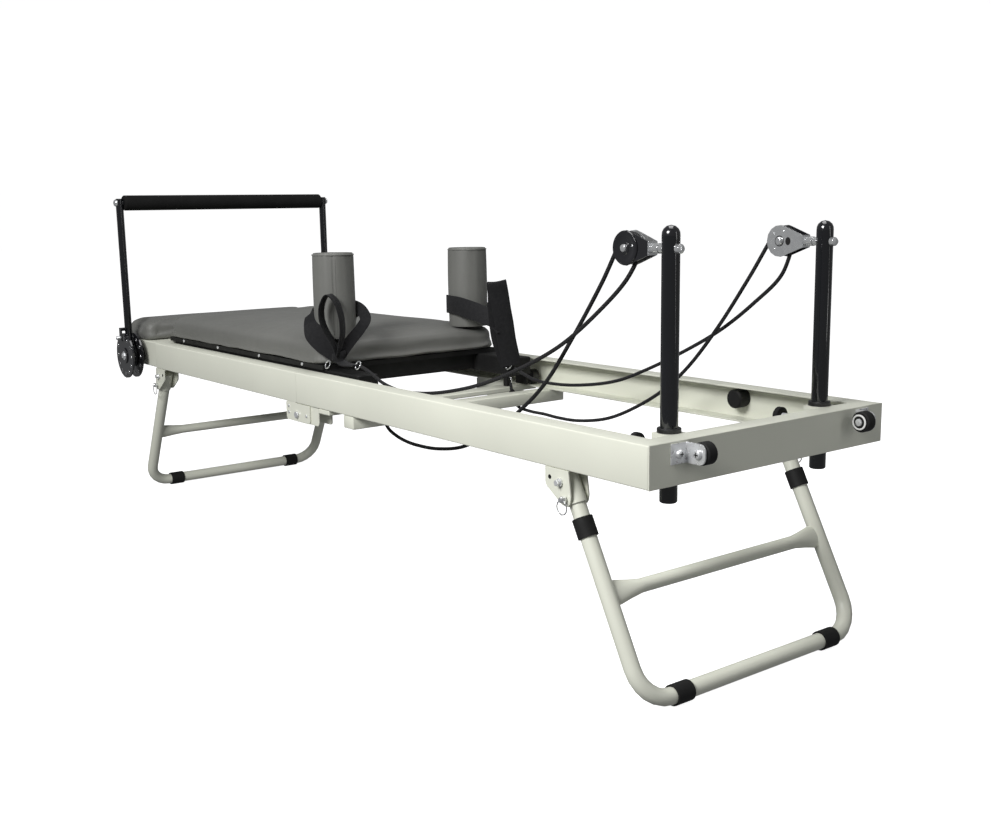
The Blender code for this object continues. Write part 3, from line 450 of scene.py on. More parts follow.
def add_band(bm, rows, width, thick, closed=False, per_span=10):
    """Flat webbing through rows of (centre, direction across it, share of the width that shows)."""
    centres = spline([row[0] for row in rows], per_span, closed)
    turns = spline([Vector(row[1]).normalized() for row in rows], per_span, closed)
    shares = spline([(row[2] if len(row) > 2 else 1.0, 0) for row in rows], per_span, closed)
    count = len(centres)
    run = run_of(centres)
    half, slim, soft = width / 2, thick / 2, thick * 0.35
    rings = []
    for i, centre in enumerate(centres):
        if closed:
            tangent = (centres[(i + 1) % count] - centres[i - 1]).normalized()
        else:
            tangent = (centres[min(i + 1, count - 1)] - centres[max(i - 1, 0)]).normalized()
        across = turns[i] - tangent * turns[i].dot(tangent)
        across.normalize()
        out = tangent.cross(across)
        section = (
            (-half, -slim + soft), (-half + soft, -slim),
            (half - soft, -slim), (half, -slim + soft),
            (half, slim - soft), (half - soft, slim),
            (-half + soft, slim), (-half, slim - soft),
        )
        rings.append([centre + across * (a * shares[i][0]) + out * b for a, b in section])
    places = (0, 0.0005, width, width, width, width, 0, 0)
    run.append(run[-1] + 0.003)
    add_loft(bm, rings, closed, uv=lambda i, j: (places[j % 8], run[i]))


def dress(name, material, *others):
    """Gives a CAD node its materials: the first everywhere, the others where their test holds."""
    obj = NODES[name]
    mesh = obj.data
    mesh.materials.clear()
    for each in (material, *(other for other, _ in others)):
        mesh.materials.append(each)
    if "custom_normal" in mesh.attributes:
        mesh.attributes.remove(mesh.attributes["custom_normal"])
    for polygon in mesh.polygons:
        polygon.use_smooth = True
        polygon.material_index = 0
        for index, (_, inside) in enumerate(others, 1):
            if inside(polygon.center):
                polygon.material_index = index
    weld = obj.modifiers.new("weld", "WELD")
    weld.merge_threshold = 1e-5
    split = obj.modifiers.new("split", "EDGE_SPLIT")
    split.split_angle = math.radians(32)


# ---------------------------------------------------------------- ropes
ROPE_R = 0.004
PULLEY_AT, PULLEY_Z, POST_Y = 0.163, 0.804, 0.208
WRAP_R, WRAP_FROM, WRAP_TURN, WRAP_STEPS = 0.0253, 139, 169, 6
ROUTES = {
    "near": (
        [(1.0262, 0.1985, 0.430),
         (1.0215, 0.198, 0.414), (1.0165, 0.197, 0.394), (1.010, 0.196, 0.376),
         (0.997, 0.195, 0.362), (0.965, 0.194, 0.350), (0.920, 0.193, 0.342), (0.870, 0.192, 0.340),
         (0.800, 0.192, 0.344), (0.700, 0.192, 0.364), (0.600, 0.193, 0.410), (0.500, 0.194, 0.468),
         (0.415, 0.196, 0.534), (0.331, 0.198, 0.629), (0.241, 0.203, 0.740)],
        [(0.168, 0.212, 0.748), (0.241, 0.217, 0.684), (0.331, 0.221, 0.622), (0.430, 0.224, 0.574),
         (0.560, 0.227, 0.525), (0.680, 0.230, 0.494), (0.790, 0.232, 0.476), (0.880, 0.234, 0.472),
         (0.950, 0.236, 0.482), (1.005, 0.238, 0.502), (1.0437, 0.240, 0.5135)],
    ),
    "far": (
        [(1.0262, 0.1985, 0.430),
         (1.0215, 0.198, 0.414), (1.0165, 0.197, 0.398), (1.008, 0.197, 0.382),
         (0.990, 0.197, 0.371), (0.940, 0.196, 0.366), (0.890, 0.196, 0.366), (0.833, 0.195, 0.364),
         (0.755, 0.194, 0.367), (0.650, 0.194, 0.387), (0.550, 0.194, 0.429), (0.470, 0.195, 0.476),
         (0.400, 0.196, 0.533), (0.320, 0.199, 0.624), (0.241, 0.203, 0.732)],
        [(0.168, 0.212, 0.737), (0.241, 0.217, 0.677), (0.331, 0.220, 0.616), (0.433, 0.219, 0.562),
         (0.540, 0.216, 0.513), (0.640, 0.212, 0.475), (0.755, 0.206, 0.453), (0.850, 0.200, 0.446),
         (0.930, 0.196, 0.450), (1.0002, 0.193, 0.4705)],
    ),
}


def rope_route(label, side):
    """From the carriage arm up to the pulley, round its groove and down to the hand strap."""
    up, down = ([(along(d), side * y, z) for d, y, z in half] for half in ROUTES[label])
    wrap = []
    for step in range(WRAP_STEPS + 1):
        angle = math.radians(WRAP_FROM - WRAP_TURN * step / WRAP_STEPS)
        x, z = along(PULLEY_AT) + WRAP_R * math.cos(angle), PULLEY_Z + WRAP_R * math.sin(angle)
        wrap.append((x, side * POST_Y, z))
    return up + wrap + down


def make_ropes():
    for label, side in SIDES.items():
        path = spline(rope_route(label, side), 12)
        bm = bmesh.new()
        add_tube(bm, path, ROPE_R, 14)
        rope = piece(f"rope_{label}_braid", bm, BRAID, angle=80)
        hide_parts(f"rope_{label}")
        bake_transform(rope)


# ---------------------------------------------------------------- CAD nodes
POST_AT, POST_CLEAR_R, POST_CAP_Z = 0.0645, 0.0166, 0.8255
COLLAR_LOW_Z, COLLAR_HIGH_Z = 0.486, 0.4985
EYE_BOLT_REACH = 0.012
FOLD_PIN_AT, FOLD_PIN_Z, FOLD_PIN_REACH = 1.220, 0.383, 0.0095
LEG_BOLTS = {"head": 0.225, "foot": 2.105}
LEG_BOLT_Z, LEG_BOLT_REACH = 0.388, 0.0085
BUMPER_WASHER_AT = 0.144
CHEEK_OUT, CHEEK_AT = 0.0096, 0.113
ARM_SCREW_Y, ARM_SCREW_Z = 0.2625, 0.46


def dress_side(label, side):
    post_x, post_y = along(POST_AT), side * POST_Y

    def on_fold_pin(c):
        reach = max(abs(c.x - along(FOLD_PIN_AT)), abs(c.z - FOLD_PIN_Z))
        return reach < FOLD_PIN_REACH

    def off_post(c):
        return math.hypot(c.x - post_x, c.y - post_y) > POST_CLEAR_R

    def on_eye_bolt(c):
        return off_post(c) and abs(c.z - PULLEY_Z) < EYE_BOLT_REACH

    def on_collar(c):
        return COLLAR_LOW_Z < c.z < COLLAR_HIGH_Z and off_post(c)

    def on_cheek(c):
        return side * c.y > POST_Y + CHEEK_OUT and c.x < along(CHEEK_AT)

    dress(f"rail_{label}_head", CREAM, (ZINC, on_fold_pin))
    dress(f"rail_{label}_foot", CREAM)
    cap = (GLOSS, lambda c: c.z > POST_CAP_Z)
    dress(f"post_{label}", BLACK_CHROME, (CHROME, on_eye_bolt), cap, (NYLON, on_collar))
    dress(f"bumper_{label}", RUBBER, (ZINC, lambda c: c.x > along(BUMPER_WASHER_AT)))
    dress(f"pulley_frame_{label}", CHROME, (GLOSS, on_cheek))
    for name, material in (
        ("roller_stop", RUBBER),
        ("transport_wheel", RUBBER),
        ("leg_band", RUBBER),
        ("wheel_bracket", ZINC),
        ("pulley_wheel", NYLON),
        ("adjuster", GLOSS),
        ("bar_pin", CHROME),
    ):
        dress(f"{name}_{label}", material)
    for end, at in LEG_BOLTS.items():

        def on_bolt(c, bolt_x=along(at)):
            return math.hypot(c.x - bolt_x, c.z - LEG_BOLT_Z) < LEG_BOLT_REACH

        dress(f"leg_bracket_{end}_{label}", CREAM, (ZINC, on_bolt))
        dress(f"leg_pin_{end}_{label}", CHROME)
        dress(f"foot_band_{end}_{label}", RUBBER)
        dress(f"roller_{end}_{label}", NYLON)


def make_metalwork():
    for label, side in SIDES.items():
        dress_side(label, side)
    beams = ("end_beam_head", "foot_box", "crossbar_flat", "crossbar_box")
    for name in (*beams, "leg_head", "leg_foot"):
        dress(name, CREAM)
    arm_screws = (ZINC, lambda c: abs(c.y) > ARM_SCREW_Y and c.z < ARM_SCREW_Z)
    dress("carriage_frame", BLACK_PAINT_AND_SHADE, arm_screws)
    dress("foot_bar", BLACK_CHROME)
    dress("foot_bar_grip", FOAM)


# ---------------------------------------------------------------- upholstery
def rounded_outline(low, high, corner, inset, steps=7):
    radius = max(0.002, corner - inset)
    points = []
    corners = ((high[0], high[1]), (low[0], high[1]), (low[0], low[1]), (high[0], low[1]))
    for quarter, (cx, cy) in enumerate(corners):
        ox = cx - math.copysign(inset + radius, cx - (low[0] + high[0]) / 2)
        oy = cy - math.copysign(inset + radius, cy - (low[1] + high[1]) / 2)
        for k in range(steps + 1):
            a = math.radians(90 * quarter + 90 * k / steps)
            points.append((ox + radius * math.cos(a), oy + radius * math.sin(a)))
    return points


def slab(bm, low, high, corner, top_soft, base_soft):
    """A slab with rounded corners, a deep top edge and a tighter one where the cover tucks under."""
    levels = []
    for k in range(5):
        a = math.radians(90 * k / 4)
        levels.append((base_soft * (1 - math.sin(a)), low[2] + base_soft * (1 - math.cos(a))))
    for k in range(6):
        a = math.radians(90 * k / 5)
        levels.append((top_soft * (1 - math.cos(a)), high[2] - top_soft * (1 - math.sin(a))))
    rings = []
    for inset, z in levels:
        rings.append([(x, y, z) for x, y in rounded_outline(low, high, corner, inset)])
    add_loft(bm, rings)


SWELL_FRAMES, SWELL_PRESSURE, TUCK_HEIGHT = 20, 4.0, 0.010


def inflate(obj, voxel, cap):
    """Remeshes the closed shape and lets its skin swell as cloth, by at most the cap."""
    bpy.context.view_layer.objects.active = obj
    remesh = obj.modifiers.new("remesh", "REMESH")
    remesh.mode = "VOXEL"
    remesh.voxel_size = voxel
    graph = bpy.context.evaluated_depsgraph_get()
    base = bpy.data.meshes.new_from_object(obj.evaluated_get(graph))
    obj.modifiers.clear()
    obj.data = base
    low = min(vert.co.z for vert in base.vertices)
    fixed = obj.vertex_groups.new(name="fixed")
    tucked = [vert.index for vert in base.vertices if vert.co.z < low + TUCK_HEIGHT]
    fixed.add(tucked, 1.0, "REPLACE")
    rest = [vert.co.copy() for vert in base.vertices]
    cloth = obj.modifiers.new("cloth", "CLOTH")
    settings = cloth.settings
    settings.quality = 4
    settings.use_pressure = True
    settings.uniform_pressure_force = SWELL_PRESSURE
    settings.effector_weights.gravity = 0.0
    settings.vertex_group_mass = "fixed"
    settings.tension_stiffness = settings.compression_stiffness = 12.0
    settings.shear_stiffness = 5.0
    settings.bending_stiffness = 1.2
    cloth.collision_settings.use_collision = False
    cloth.collision_settings.use_self_collision = False
    cloth.point_cache.frame_start, cloth.point_cache.frame_end = 1, SWELL_FRAMES
    scene = bpy.context.scene
    for number in range(1, SWELL_FRAMES + 1):
        scene.frame_set(number)
    graph = bpy.context.evaluated_depsgraph_get()
    swollen = bpy.data.meshes.new_from_object(obj.evaluated_get(graph))
    obj.modifiers.clear()
    for vert, start in zip(swollen.vertices, rest):
        move = vert.co - start
        if move.length > cap:
            vert.co = start + move * (cap / move.length)
    obj.data = swollen
    obj.vertex_groups.clear()
    scene.frame_set(1)


def rumple(obj, low, high, crown, amount):
    """Crowns the top, and creases the cover where it is pulled round the sides and tucked under."""
    cx, cy = (low[0] + high[0]) / 2, (low[1] + high[1]) / 2
    wide, deep, tall = (high[0] - low[0]) / 2, (high[1] - low[1]) / 2, high[2] - low[2]
    for vert in obj.data.vertices:
        co = vert.co.copy()
        u, v = (co.x - cx) / wide, (co.y - cy) / deep
        level = max(0.0, min(1.0, (co.z - low[2]) / tall))
        side = 1 - min(1.0, abs(vert.normal.z) * 1.1)
        slow = noise.noise(Vector((co.x * 7, co.y * 7, co.z * 12)))
        crease = noise.noise(Vector((co.x * 9 + 4, co.y * 9, co.z * 75)))
        pucker = noise.noise(Vector((co.x * 42, co.y * 42 + 9, co.z * 8)))
        lift = crown * max(0.0, 1 - u**4) * max(0.0, 1 - v**4) * level
        swell = 0.5 * slow + side * (0.9 * crease + 0.55 * pucker * (1 - level))
        vert.co = co + vert.normal * (amount * swell) + Vector((0, 0, lift))
        if level < 0.25:
            vert.co.z += amount * 1.3 * noise.noise(Vector((co.x * 13, co.y * 13, 3)))


CREASE_DEPTH = 0.0018


def upholster(name, node, body, trims, corner, softs, cap, voxel, crown):
    """A vinyl cushion in place of a CAD pad, trimmed so that its swelling stays inside the pad."""
    start_x, end_x, sides_y, base_z, top_z = trims
    box_low, box_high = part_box(node)
    low = (box_low.x + start_x, box_low.y + sides_y, box_low.z + base_z)
    high = (box_high.x - end_x, box_high.y - sides_y, box_high.z - top_z)
    bm = bmesh.new()
    slab(bm, low, high, corner, *softs)
    obj = piece(name, bm, VINYL)
    inflate(obj, voxel, cap)
    rumple(obj, low, high, crown, CREASE_DEPTH)
    obj.data.materials.clear()
    obj.data.materials.append(VINYL)
    smoothed(obj.data, 75)
    subdivide = obj.modifiers.new("subdivide", "SUBSURF")
    subdivide.levels = subdivide.render_levels = 1
    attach(obj, body)
    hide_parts(node)


def make_pads():
    upholster(
        "carriage_cushion", "carriage_pad", "carriage", trims=(0.005, 0.004, 0.005, 0.001, 0.003),
        corner=0.060, softs=(0.021, 0.009), cap=0.008, voxel=0.008, crown=0.005,
    )
    upholster(
        "platform_cushion", "platform_pad", "frame", trims=(0.004, 0.004, 0.005, 0.001, 0.002),
        corner=0.030, softs=(0.019, 0.009), cap=0.006, voxel=0.006, crown=0.003,
    )


SHOULDER_AT, SHOULDER_Y, SHOULDER_R = 1.215, 0.205, 0.053


REST_ROWS, REST_SIDES = 44, 96
PINCH_DEPTH, PINCH_WIDTH = 0.0011, 0.0032
DOME_DROP = 0.0044
DOME = ((0.985, 0.0016), (0.93, 0.0030), (0.8, 0.0038), (0.5, 0.0044), (0.2, 0.0046))
STITCHES, STITCH_LENGTH, STITCH_GAP = 26, 0.0045, 0.0042


def add_rest_cover(bm, centre, side, foot, top, seam):
    """A vinyl cover pulled over a cylinder, pinched along its seam, with a low dome on top."""
    height = top - foot
    rings = []
    for i in range(REST_ROWS + 1):
        t = i / REST_ROWS
        z = foot + height * t
        bulge = 0.0012 * math.sin(math.pi * t)
        shoulder = min(1.0, (1 - t) * height / 0.007)
        tuck = min(1.0, 0.55 + t * height / 0.010)
        radius = (SHOULDER_R - 0.0022) * math.sqrt(max(0.0, 1 - (1 - shoulder) ** 2) * 0.10 + 0.90)
        radius = radius * (0.965 + 0.035 * tuck) + bulge
        ring = []
        for k in range(REST_SIDES):
            a = TAU * k / REST_SIDES
            c, s = circle(k, REST_SIDES)
            off = (a - seam + math.pi) % TAU - math.pi
            ripple = 0.0011 * noise.noise(Vector((c * 3.2, s * 3.2 + side, z * 7)))
            pinch = PINCH_DEPTH * math.exp(-((off * radius / PINCH_WIDTH) ** 2))
            r = radius + ripple - pinch
            ring.append(centre + Vector((r * c, r * s, z)))
        rings.append(ring)
    edge = [point - centre for point in rings[-1]]
    for share, rise in DOME:
        z = top - DOME_DROP + rise
        rings.append([centre + Vector((p.x * share, p.y * share, z)) for p in edge])
    add_loft(bm, rings)


def add_piping(bm, centre, foot, top, seam):
    """A welt round the top edge, and a row of stitches on each side of the seam."""
    r = SHOULDER_R - 0.0016
    welt = []
    for k in range(72):
        c, s = circle(k, 72)
        welt.append(centre + Vector((r * c, r * s, top - 0.0045)))
    add_tube(bm, welt, 0.0013, 8, closed=True)
    for k in range(STITCHES):
        for step in (-1, 1):
            a = seam + step * STITCH_GAP / r
            z = foot + 0.010 + (top - foot - 0.022) * k / STITCHES
            reach = r + 0.0012
            spot = centre + Vector((reach * math.cos(a), reach * math.sin(a), z))
            add_tube(bm, [spot, spot + Vector((0, 0, STITCH_LENGTH))], 0.0004, 6)


def make_shoulder_rests():
    near_seam = math.atan2(CAMERA_AT.y + SHOULDER_Y, CAMERA_AT.x - along(SHOULDER_AT))
    seams = {"near": near_seam, "far": math.pi * 0.75}
    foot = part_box("carriage_pad")[1].z + 0.001
    for label, side in SIDES.items():
        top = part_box(f"shoulder_rest_{label}")[1].z
        centre = Vector((along(SHOULDER_AT), side * SHOULDER_Y, 0))
        bm = bmesh.new()
        add_rest_cover(bm, centre, side, foot, top, seams[label])
        rest = piece(f"shoulder_cushion_{label}", bm, VINYL, "carriage", angle=70)
        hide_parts(f"shoulder_rest_{label}")
        bm = bmesh.new()
        add_piping(bm, centre, foot, top, seams[label])
        piece(f"shoulder_piping_{label}", bm, VINYL, "carriage")


# ---------------------------------------------------------------- straps
STRAP_W, STRAP_T, SMALL_LOOP_W = 0.048, 0.0022, 0.038
SIDEWAYS, UP, AWAY = Vector((0.607, 0.795, 0)), Vector((0, 0, 1)), Vector((-0.795, 0.607, 0))


def strap_rows(side, rows):
    made = []
    for d, y, z, across, *share in rows:
        made.append((Vector((along(d), side * y, z)), Vector(across), *share))
    return made


def make_near_strap():
    """A loop round the shoulder rest, a knot at the pad's corner and a small upright loop."""
    bm = bmesh.new()
    add_band(bm, strap_rows(-1, [
        (1.141, 0.242, 0.522, 0.75 * SIDEWAYS + 0.66 * UP, 0.6),
        (1.146, 0.248, 0.532, 0.75 * SIDEWAYS + 0.66 * UP, 0.75),
        (1.170, 0.263, 0.556, 0.72 * SIDEWAYS + 0.70 * UP, 1.05),
        (1.203, 0.269, 0.582, 0.84 * SIDEWAYS + 0.54 * UP, 1.15),
        (1.230, 0.265, 0.604, 0.85 * SIDEWAYS + 0.50 * UP, 0.85),
        (1.250, 0.254, 0.626, 0.45 * SIDEWAYS + 0.75 * UP + 0.4 * AWAY, 0.5),
        (1.272, 0.213, 0.622, UP, 0.9),
        (1.262, 0.170, 0.618, UP),
        (1.223, 0.147, 0.626, UP),
        (1.184, 0.160, 0.636, UP, 0.85),
        (1.160, 0.159, 0.631, 0.50 * SIDEWAYS + 0.85 * UP, 0.62),
        (1.143, 0.161, 0.613, 0.95 * SIDEWAYS + 0.2 * UP, 0.58),
        (1.138, 0.179, 0.592, 0.80 * SIDEWAYS - 0.55 * UP, 0.55),
        (1.138, 0.207, 0.565, 0.80 * SIDEWAYS - 0.60 * UP, 0.58),
        (1.140, 0.234, 0.535, 0.75 * SIDEWAYS - 0.66 * UP, 0.6),
        (1.141, 0.241, 0.522, 0.75 * SIDEWAYS - 0.66 * UP, 0.5),
    ]), STRAP_W, STRAP_T)
    edge_on = 0.97 * AWAY + 0.22 * SIDEWAYS
    add_band(bm, strap_rows(-1, [
        (1.140, 0.243, 0.530, edge_on),
        (1.145, 0.250, 0.556, edge_on),
        (1.154, 0.263, 0.585, edge_on),
        (1.161, 0.272, 0.616, edge_on),
        (1.161, 0.271, 0.652, edge_on),
        (1.151, 0.259, 0.678, edge_on),
        (1.139, 0.245, 0.663, edge_on),
        (1.132, 0.236, 0.628, edge_on),
        (1.131, 0.234, 0.589, edge_on),
        (1.135, 0.238, 0.555, edge_on),
        (1.139, 0.242, 0.530, edge_on),
    ]), SMALL_LOOP_W, STRAP_T)
    knot = Vector((along(1.140), -0.242, 0.526))
    for size, drop, lean in ((0.0150, 0.004, 0.25), (0.0135, -0.006, -0.35)):
        rows = []
        for k in range(10):
            c, s = circle(k, 10)
            rise = drop + lean * size * c
            spot = knot + SIDEWAYS * (size * c) + AWAY * (0.0085 * s) + UP * rise
            rows.append((spot, UP + 0.4 * lean * SIDEWAYS))
        add_band(bm, rows, 0.017, 0.003, closed=True, per_span=4)
    add_band(bm, strap_rows(-1, [
        (1.141, 0.242, 0.520, 0.8 * AWAY + 0.5 * UP),
        (1.118, 0.240, 0.512, Vector((0, 1, 0.3))),
        (1.086, 0.2385, 0.511, Vector((0, 1, 0.1))),
        (1.057, 0.240, 0.5135, Vector((0, 1, 0))),
    ]), 0.024, 0.004)
    near = piece("hand_strap_near", bm, WEBBING, "carriage", angle=50)
    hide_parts("strap_near")


def make_far_strap():
    """A loop round the shoulder rest's foot, and a doubled hand loop that stands up by the rope."""
    radius = SHOULDER_R + 0.0045
    rows = [
        (1.016, 0.176, 0.556, 0.6 * UP + 0.8 * AWAY),
        (1.050, 0.190, 0.572, 0.8 * UP + 0.5 * AWAY),
        (1.120, 0.226, 0.592, UP),
    ]
    round_rest = (
        (63, 0.600), (100, 0.606), (140, 0.612), (180, 0.618),
        (220, 0.624), (252, 0.627), (272, 0.626),
    )
    for angle, z in round_rest:
        a = math.radians(angle)
        d, y = SHOULDER_AT - radius * math.cos(a), SHOULDER_Y + radius * math.sin(a)
        rows.append((d, y, z, UP))
    rows += [
        (1.186, 0.150, 0.624, UP + 0.15 * AWAY),
        (1.136, 0.156, 0.615, UP + 0.5 * AWAY),
        (1.091, 0.162, 0.605, 0.8 * UP + 0.75 * AWAY),
        (1.050, 0.166, 0.590, 0.6 * UP + 0.85 * AWAY),
        (1.016, 0.171, 0.566, 0.5 * UP + 0.85 * AWAY),
    ]
    bm = bmesh.new()
    add_band(bm, strap_rows(1, rows), STRAP_W, STRAP_T)
    broad = Vector((0.59, 0.77, 0.22))
    add_band(bm, strap_rows(1, [
        (1.0085, 0.189, 0.478, broad),
        (1.0085, 0.184, 0.506, broad),
        (1.0080, 0.174, 0.545, broad),
        (1.0075, 0.166, 0.590, broad),
        (1.0080, 0.159, 0.624, broad),
        (1.0085, 0.153, 0.660, broad),
        (1.0090, 0.1465, 0.692, broad),
        (1.0120, 0.1480, 0.6935, broad),
        (1.0150, 0.1490, 0.690, broad),
        (1.0180, 0.1530, 0.660, broad),
        (1.0220, 0.1560, 0.624, broad),
        (1.0250, 0.1610, 0.590, broad),
        (1.0250, 0.1690, 0.545, broad),
        (1.0200, 0.1810, 0.506, broad),
        (1.0120, 0.1890, 0.478, broad),
    ]), STRAP_W, STRAP_T)
    far = piece("hand_strap_far", bm, WEBBING, "carriage", angle=50)
    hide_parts("strap_far")


# ---------------------------------------------------------------- springs
COIL_R, COIL_WIRE_R, COIL_PITCH, COIL_STEPS = 0.0098, 0.0016, 0.0052, 10
HOOK_TIP, HOOK_BASE, HOOK_LENGTH = 0.001, 0.010, 0.018


def make_springs():
    for number in (1, 2, 3):
        low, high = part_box(f"spring_{number}")
        y, z = (low.y + high.y) / 2, (low.z + high.z) / 2
        start, end = low.x + HOOK_LENGTH, high.x - HOOK_LENGTH
        steps = int((end - start) / COIL_PITCH) * COIL_STEPS
        points = [Vector((low.x + HOOK_TIP, y, z)), Vector((low.x + HOOK_BASE, y, z))]
        for k in range(steps + 1):
            c, s = circle(k, COIL_STEPS)
            x = start + (end - start) * k / steps
            points.append(Vector((x, y + COIL_R * c, z + COIL_R * s)))
        points += [Vector((high.x - HOOK_BASE, y, z)), Vector((high.x - HOOK_TIP, y, z))]
        bm = bmesh.new()
        add_tube(bm, points, COIL_WIRE_R, 6)
        coil = piece(f"coil_{number}", bm, CHROME, angle=80)
        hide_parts(f"spring_{number}")
        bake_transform(coil)


# ---------------------------------------------------------------- fittings
def add_pan_head(bm, at, axis, radius):
    shares = ((1, 0), (1, 0.15), (0.86, 0.42), (0.55, 0.56), (0.2, 0.6))
    add_lathe(bm, [(radius * wide, radius * high) for wide, high in shares], at, axis, 20)


def add_cross(bm, at, axis, radius):
    """The two slots of a cross-head screw, as dark bars let into its head: painted shade of the
    recess.
    """
    turn = Vector(axis).to_track_quat("Z", "Y")
    long, short = radius * 0.52, radius * 0.11
    for a, b in ((long, short), (short, long)):
        made = bmesh.ops.create_cube(bm, size=1.0)
        for vert in made["verts"]:
            rise = radius * 0.5 + vert.co.z * radius * 0.28
            local = Vector((vert.co.x * 2 * a, vert.co.y * 2 * b, rise))
            vert.co = Vector(at) + turn @ local


def add_hex(bm, at, axis, radius, height):
    profile = ((0.9, 0), (1, 0.1), (1, 0.85), (0.88, 1))
    add_lathe(bm, [(radius * wide, height * high) for wide, high in profile], at, axis, 6)


def add_wire_ring(bm, centre, first, second, wire_r, steps=24):
    """A closed ring of wire whose two radii are vectors."""
    points = []
    for k in range(steps):
        c, s = circle(k, steps)
        points.append(centre + first * c + second * s)
    add_tube(bm, points, wire_r, 8, closed=True)


BAR_AT, BAR_DISC_Z, BAR_CAP_Z, BAR_HOLES_R = 2.250, 0.443, 0.911, 0.056
WHEEL_OUT, WHEEL_Z = 0.030, 0.467
FOLD_SCREWS = ((1.262, 0.385), (1.172, 0.385), (1.262, 0.401))
BOARD_SCREWS_AT, BOARD_SCREW_Y, BOARD_SCREW_Z = (1.28, 1.52, 1.78, 2.02), 0.2678, 0.4985
DROP_ARM_SCREWS_AT, DROP_ARM_Y, DROP_ARM_Z = (1.09, 1.14), 0.2618, 0.470
ROPE_EYE_AT, ROPE_EYE_Y = 1.0300, 0.1985
STRAP_RINGS = ((1.050, -0.2425, 0.5145), (1.160, -0.262, 0.508), (1.030, 0.196, 0.475))


def add_frame_fittings(heads, discs, side):
    """Screws in the fold plates, and on each leg bracket a bolt and a black disc of painted shade
    over its hole.
    """
    out = (0, side, 0)
    for d, z in FOLD_SCREWS:
        add_pan_head(heads, (along(d), side * 0.3196, z), out, 0.0042)
    for at, hole_shade_at in ((LEG_BOLTS["head"], 0.029), (LEG_BOLTS["foot"], -0.029)):
        # A flat black disc on the bracket over its round hole: painted shade of the hole.
        hole_shade = (along(at) - hole_shade_at, side * 0.3198, 0.3935)
        add_lathe(discs, [(0.0042, 0), (0.0042, 0.0006), (0.002, 0.0008)], hole_shade, out, 16)
        add_hex(heads, (along(at), side * 0.327, LEG_BOLT_Z), out, 0.0062, 0.004)


def add_wheel_fittings(heads, slots, rims, discs, side):
    """Two cross-head screws in a wheel bracket, and the rim, face and nut of the wheel's hub."""
    out, inward = (0, side, 0), (0, -side, 0)
    for at, axis, radius in (
        ((HEAD_X + 0.0060, side * 0.254, WHEEL_Z), (1, 0, 0), 0.0078),
        ((HEAD_X + WHEEL_OUT, side * 0.2372, WHEEL_Z), out, 0.0082),
    ):
        add_pan_head(heads, at, axis, radius)
        add_cross(slots, at, axis, radius)
    hub = (HEAD_X + WHEEL_OUT, side * 0.2055, WHEEL_Z)
    rim = [(0.0150, 0), (0.0150, 0.0012), (0.0142, 0.0018), (0.0120, 0.0018), (0.0112, 0)]
    add_ring(rims, rim, hub, inward, 36)
    add_lathe(discs, [(0.0118, 0), (0.0118, 0.0009), (0.002, 0.0010)], hub, inward, 28)
    nut = [(0.0066, 0), (0.0066, 0.0030), (0.0056, 0.0040), (0.002, 0.0044)]
    add_lathe(heads, nut, hub, inward, 6)


def add_bar_fittings(heads, caps, eyelets, side):
    """A domed cap on each upright's top, the disc's bolt and washer, and its ring of eyelets."""
    out = (0, side, 0)
    dome = [(0.0105, 0), (0.0105, 0.003), (0.0085, 0.0062), (0.0045, 0.0080)]
    add_lathe(caps, dome, (along(BAR_AT), side * 0.3615, BAR_CAP_Z), out, 24)
    add_hex(heads, (along(BAR_AT), side * 0.3718, BAR_DISC_Z), out, 0.0085, 0.0055)
    washer = [(0.0135, 0), (0.0135, 0.0015), (0.004, 0.0018)]
    add_lathe(heads, washer, (along(BAR_AT), side * 0.3705, BAR_DISC_Z), out, 28)
    eyelet = [(0.0040, 0), (0.0040, 0.0006), (0.0052, 0.0006), (0.0056, 0)]
    for k in range(12):
        c, s = circle(k, 12)
        x, z = along(BAR_AT) + BAR_HOLES_R * c, BAR_DISC_Z + BAR_HOLES_R * s
        for depth in (0.3695, 0.3405):
            add_ring(eyelets, eyelet, (x, side * depth, z), out, 18)


def add_carriage_fittings(eyes, snaps, screws, side):
    """The rope's eye with the two snap rings under it, and the screws in the board and the arm."""
    out = (0, side, 0)
    x, y = along(ROPE_EYE_AT), side * ROPE_EYE_Y
    eye = Vector((x + 0.002, y, 0.436))
    add_wire_ring(eyes, eye, Vector((0.0065, 0, 0)), Vector((0, 0, 0.0085)), 0.0015)
    for z, reach, size, across in (
        (0.417, 0.006, 0.0075, Vector((0.9, -0.43, 0))),
        (0.404, 0.011, 0.0065, Vector((0.5, 0.866, 0))),
    ):
        centre = Vector((x + reach, y, z))
        add_wire_ring(snaps, centre, across * size, Vector((0, 0, size * 1.25)), 0.0021)
    for d in BOARD_SCREWS_AT:
        add_pan_head(screws, (along(d), side * BOARD_SCREW_Y, BOARD_SCREW_Z), out, 0.0045)
    for d in DROP_ARM_SCREWS_AT:
        add_pan_head(screws, (along(d), side * DROP_ARM_Y, DROP_ARM_Z), out, 0.0075)


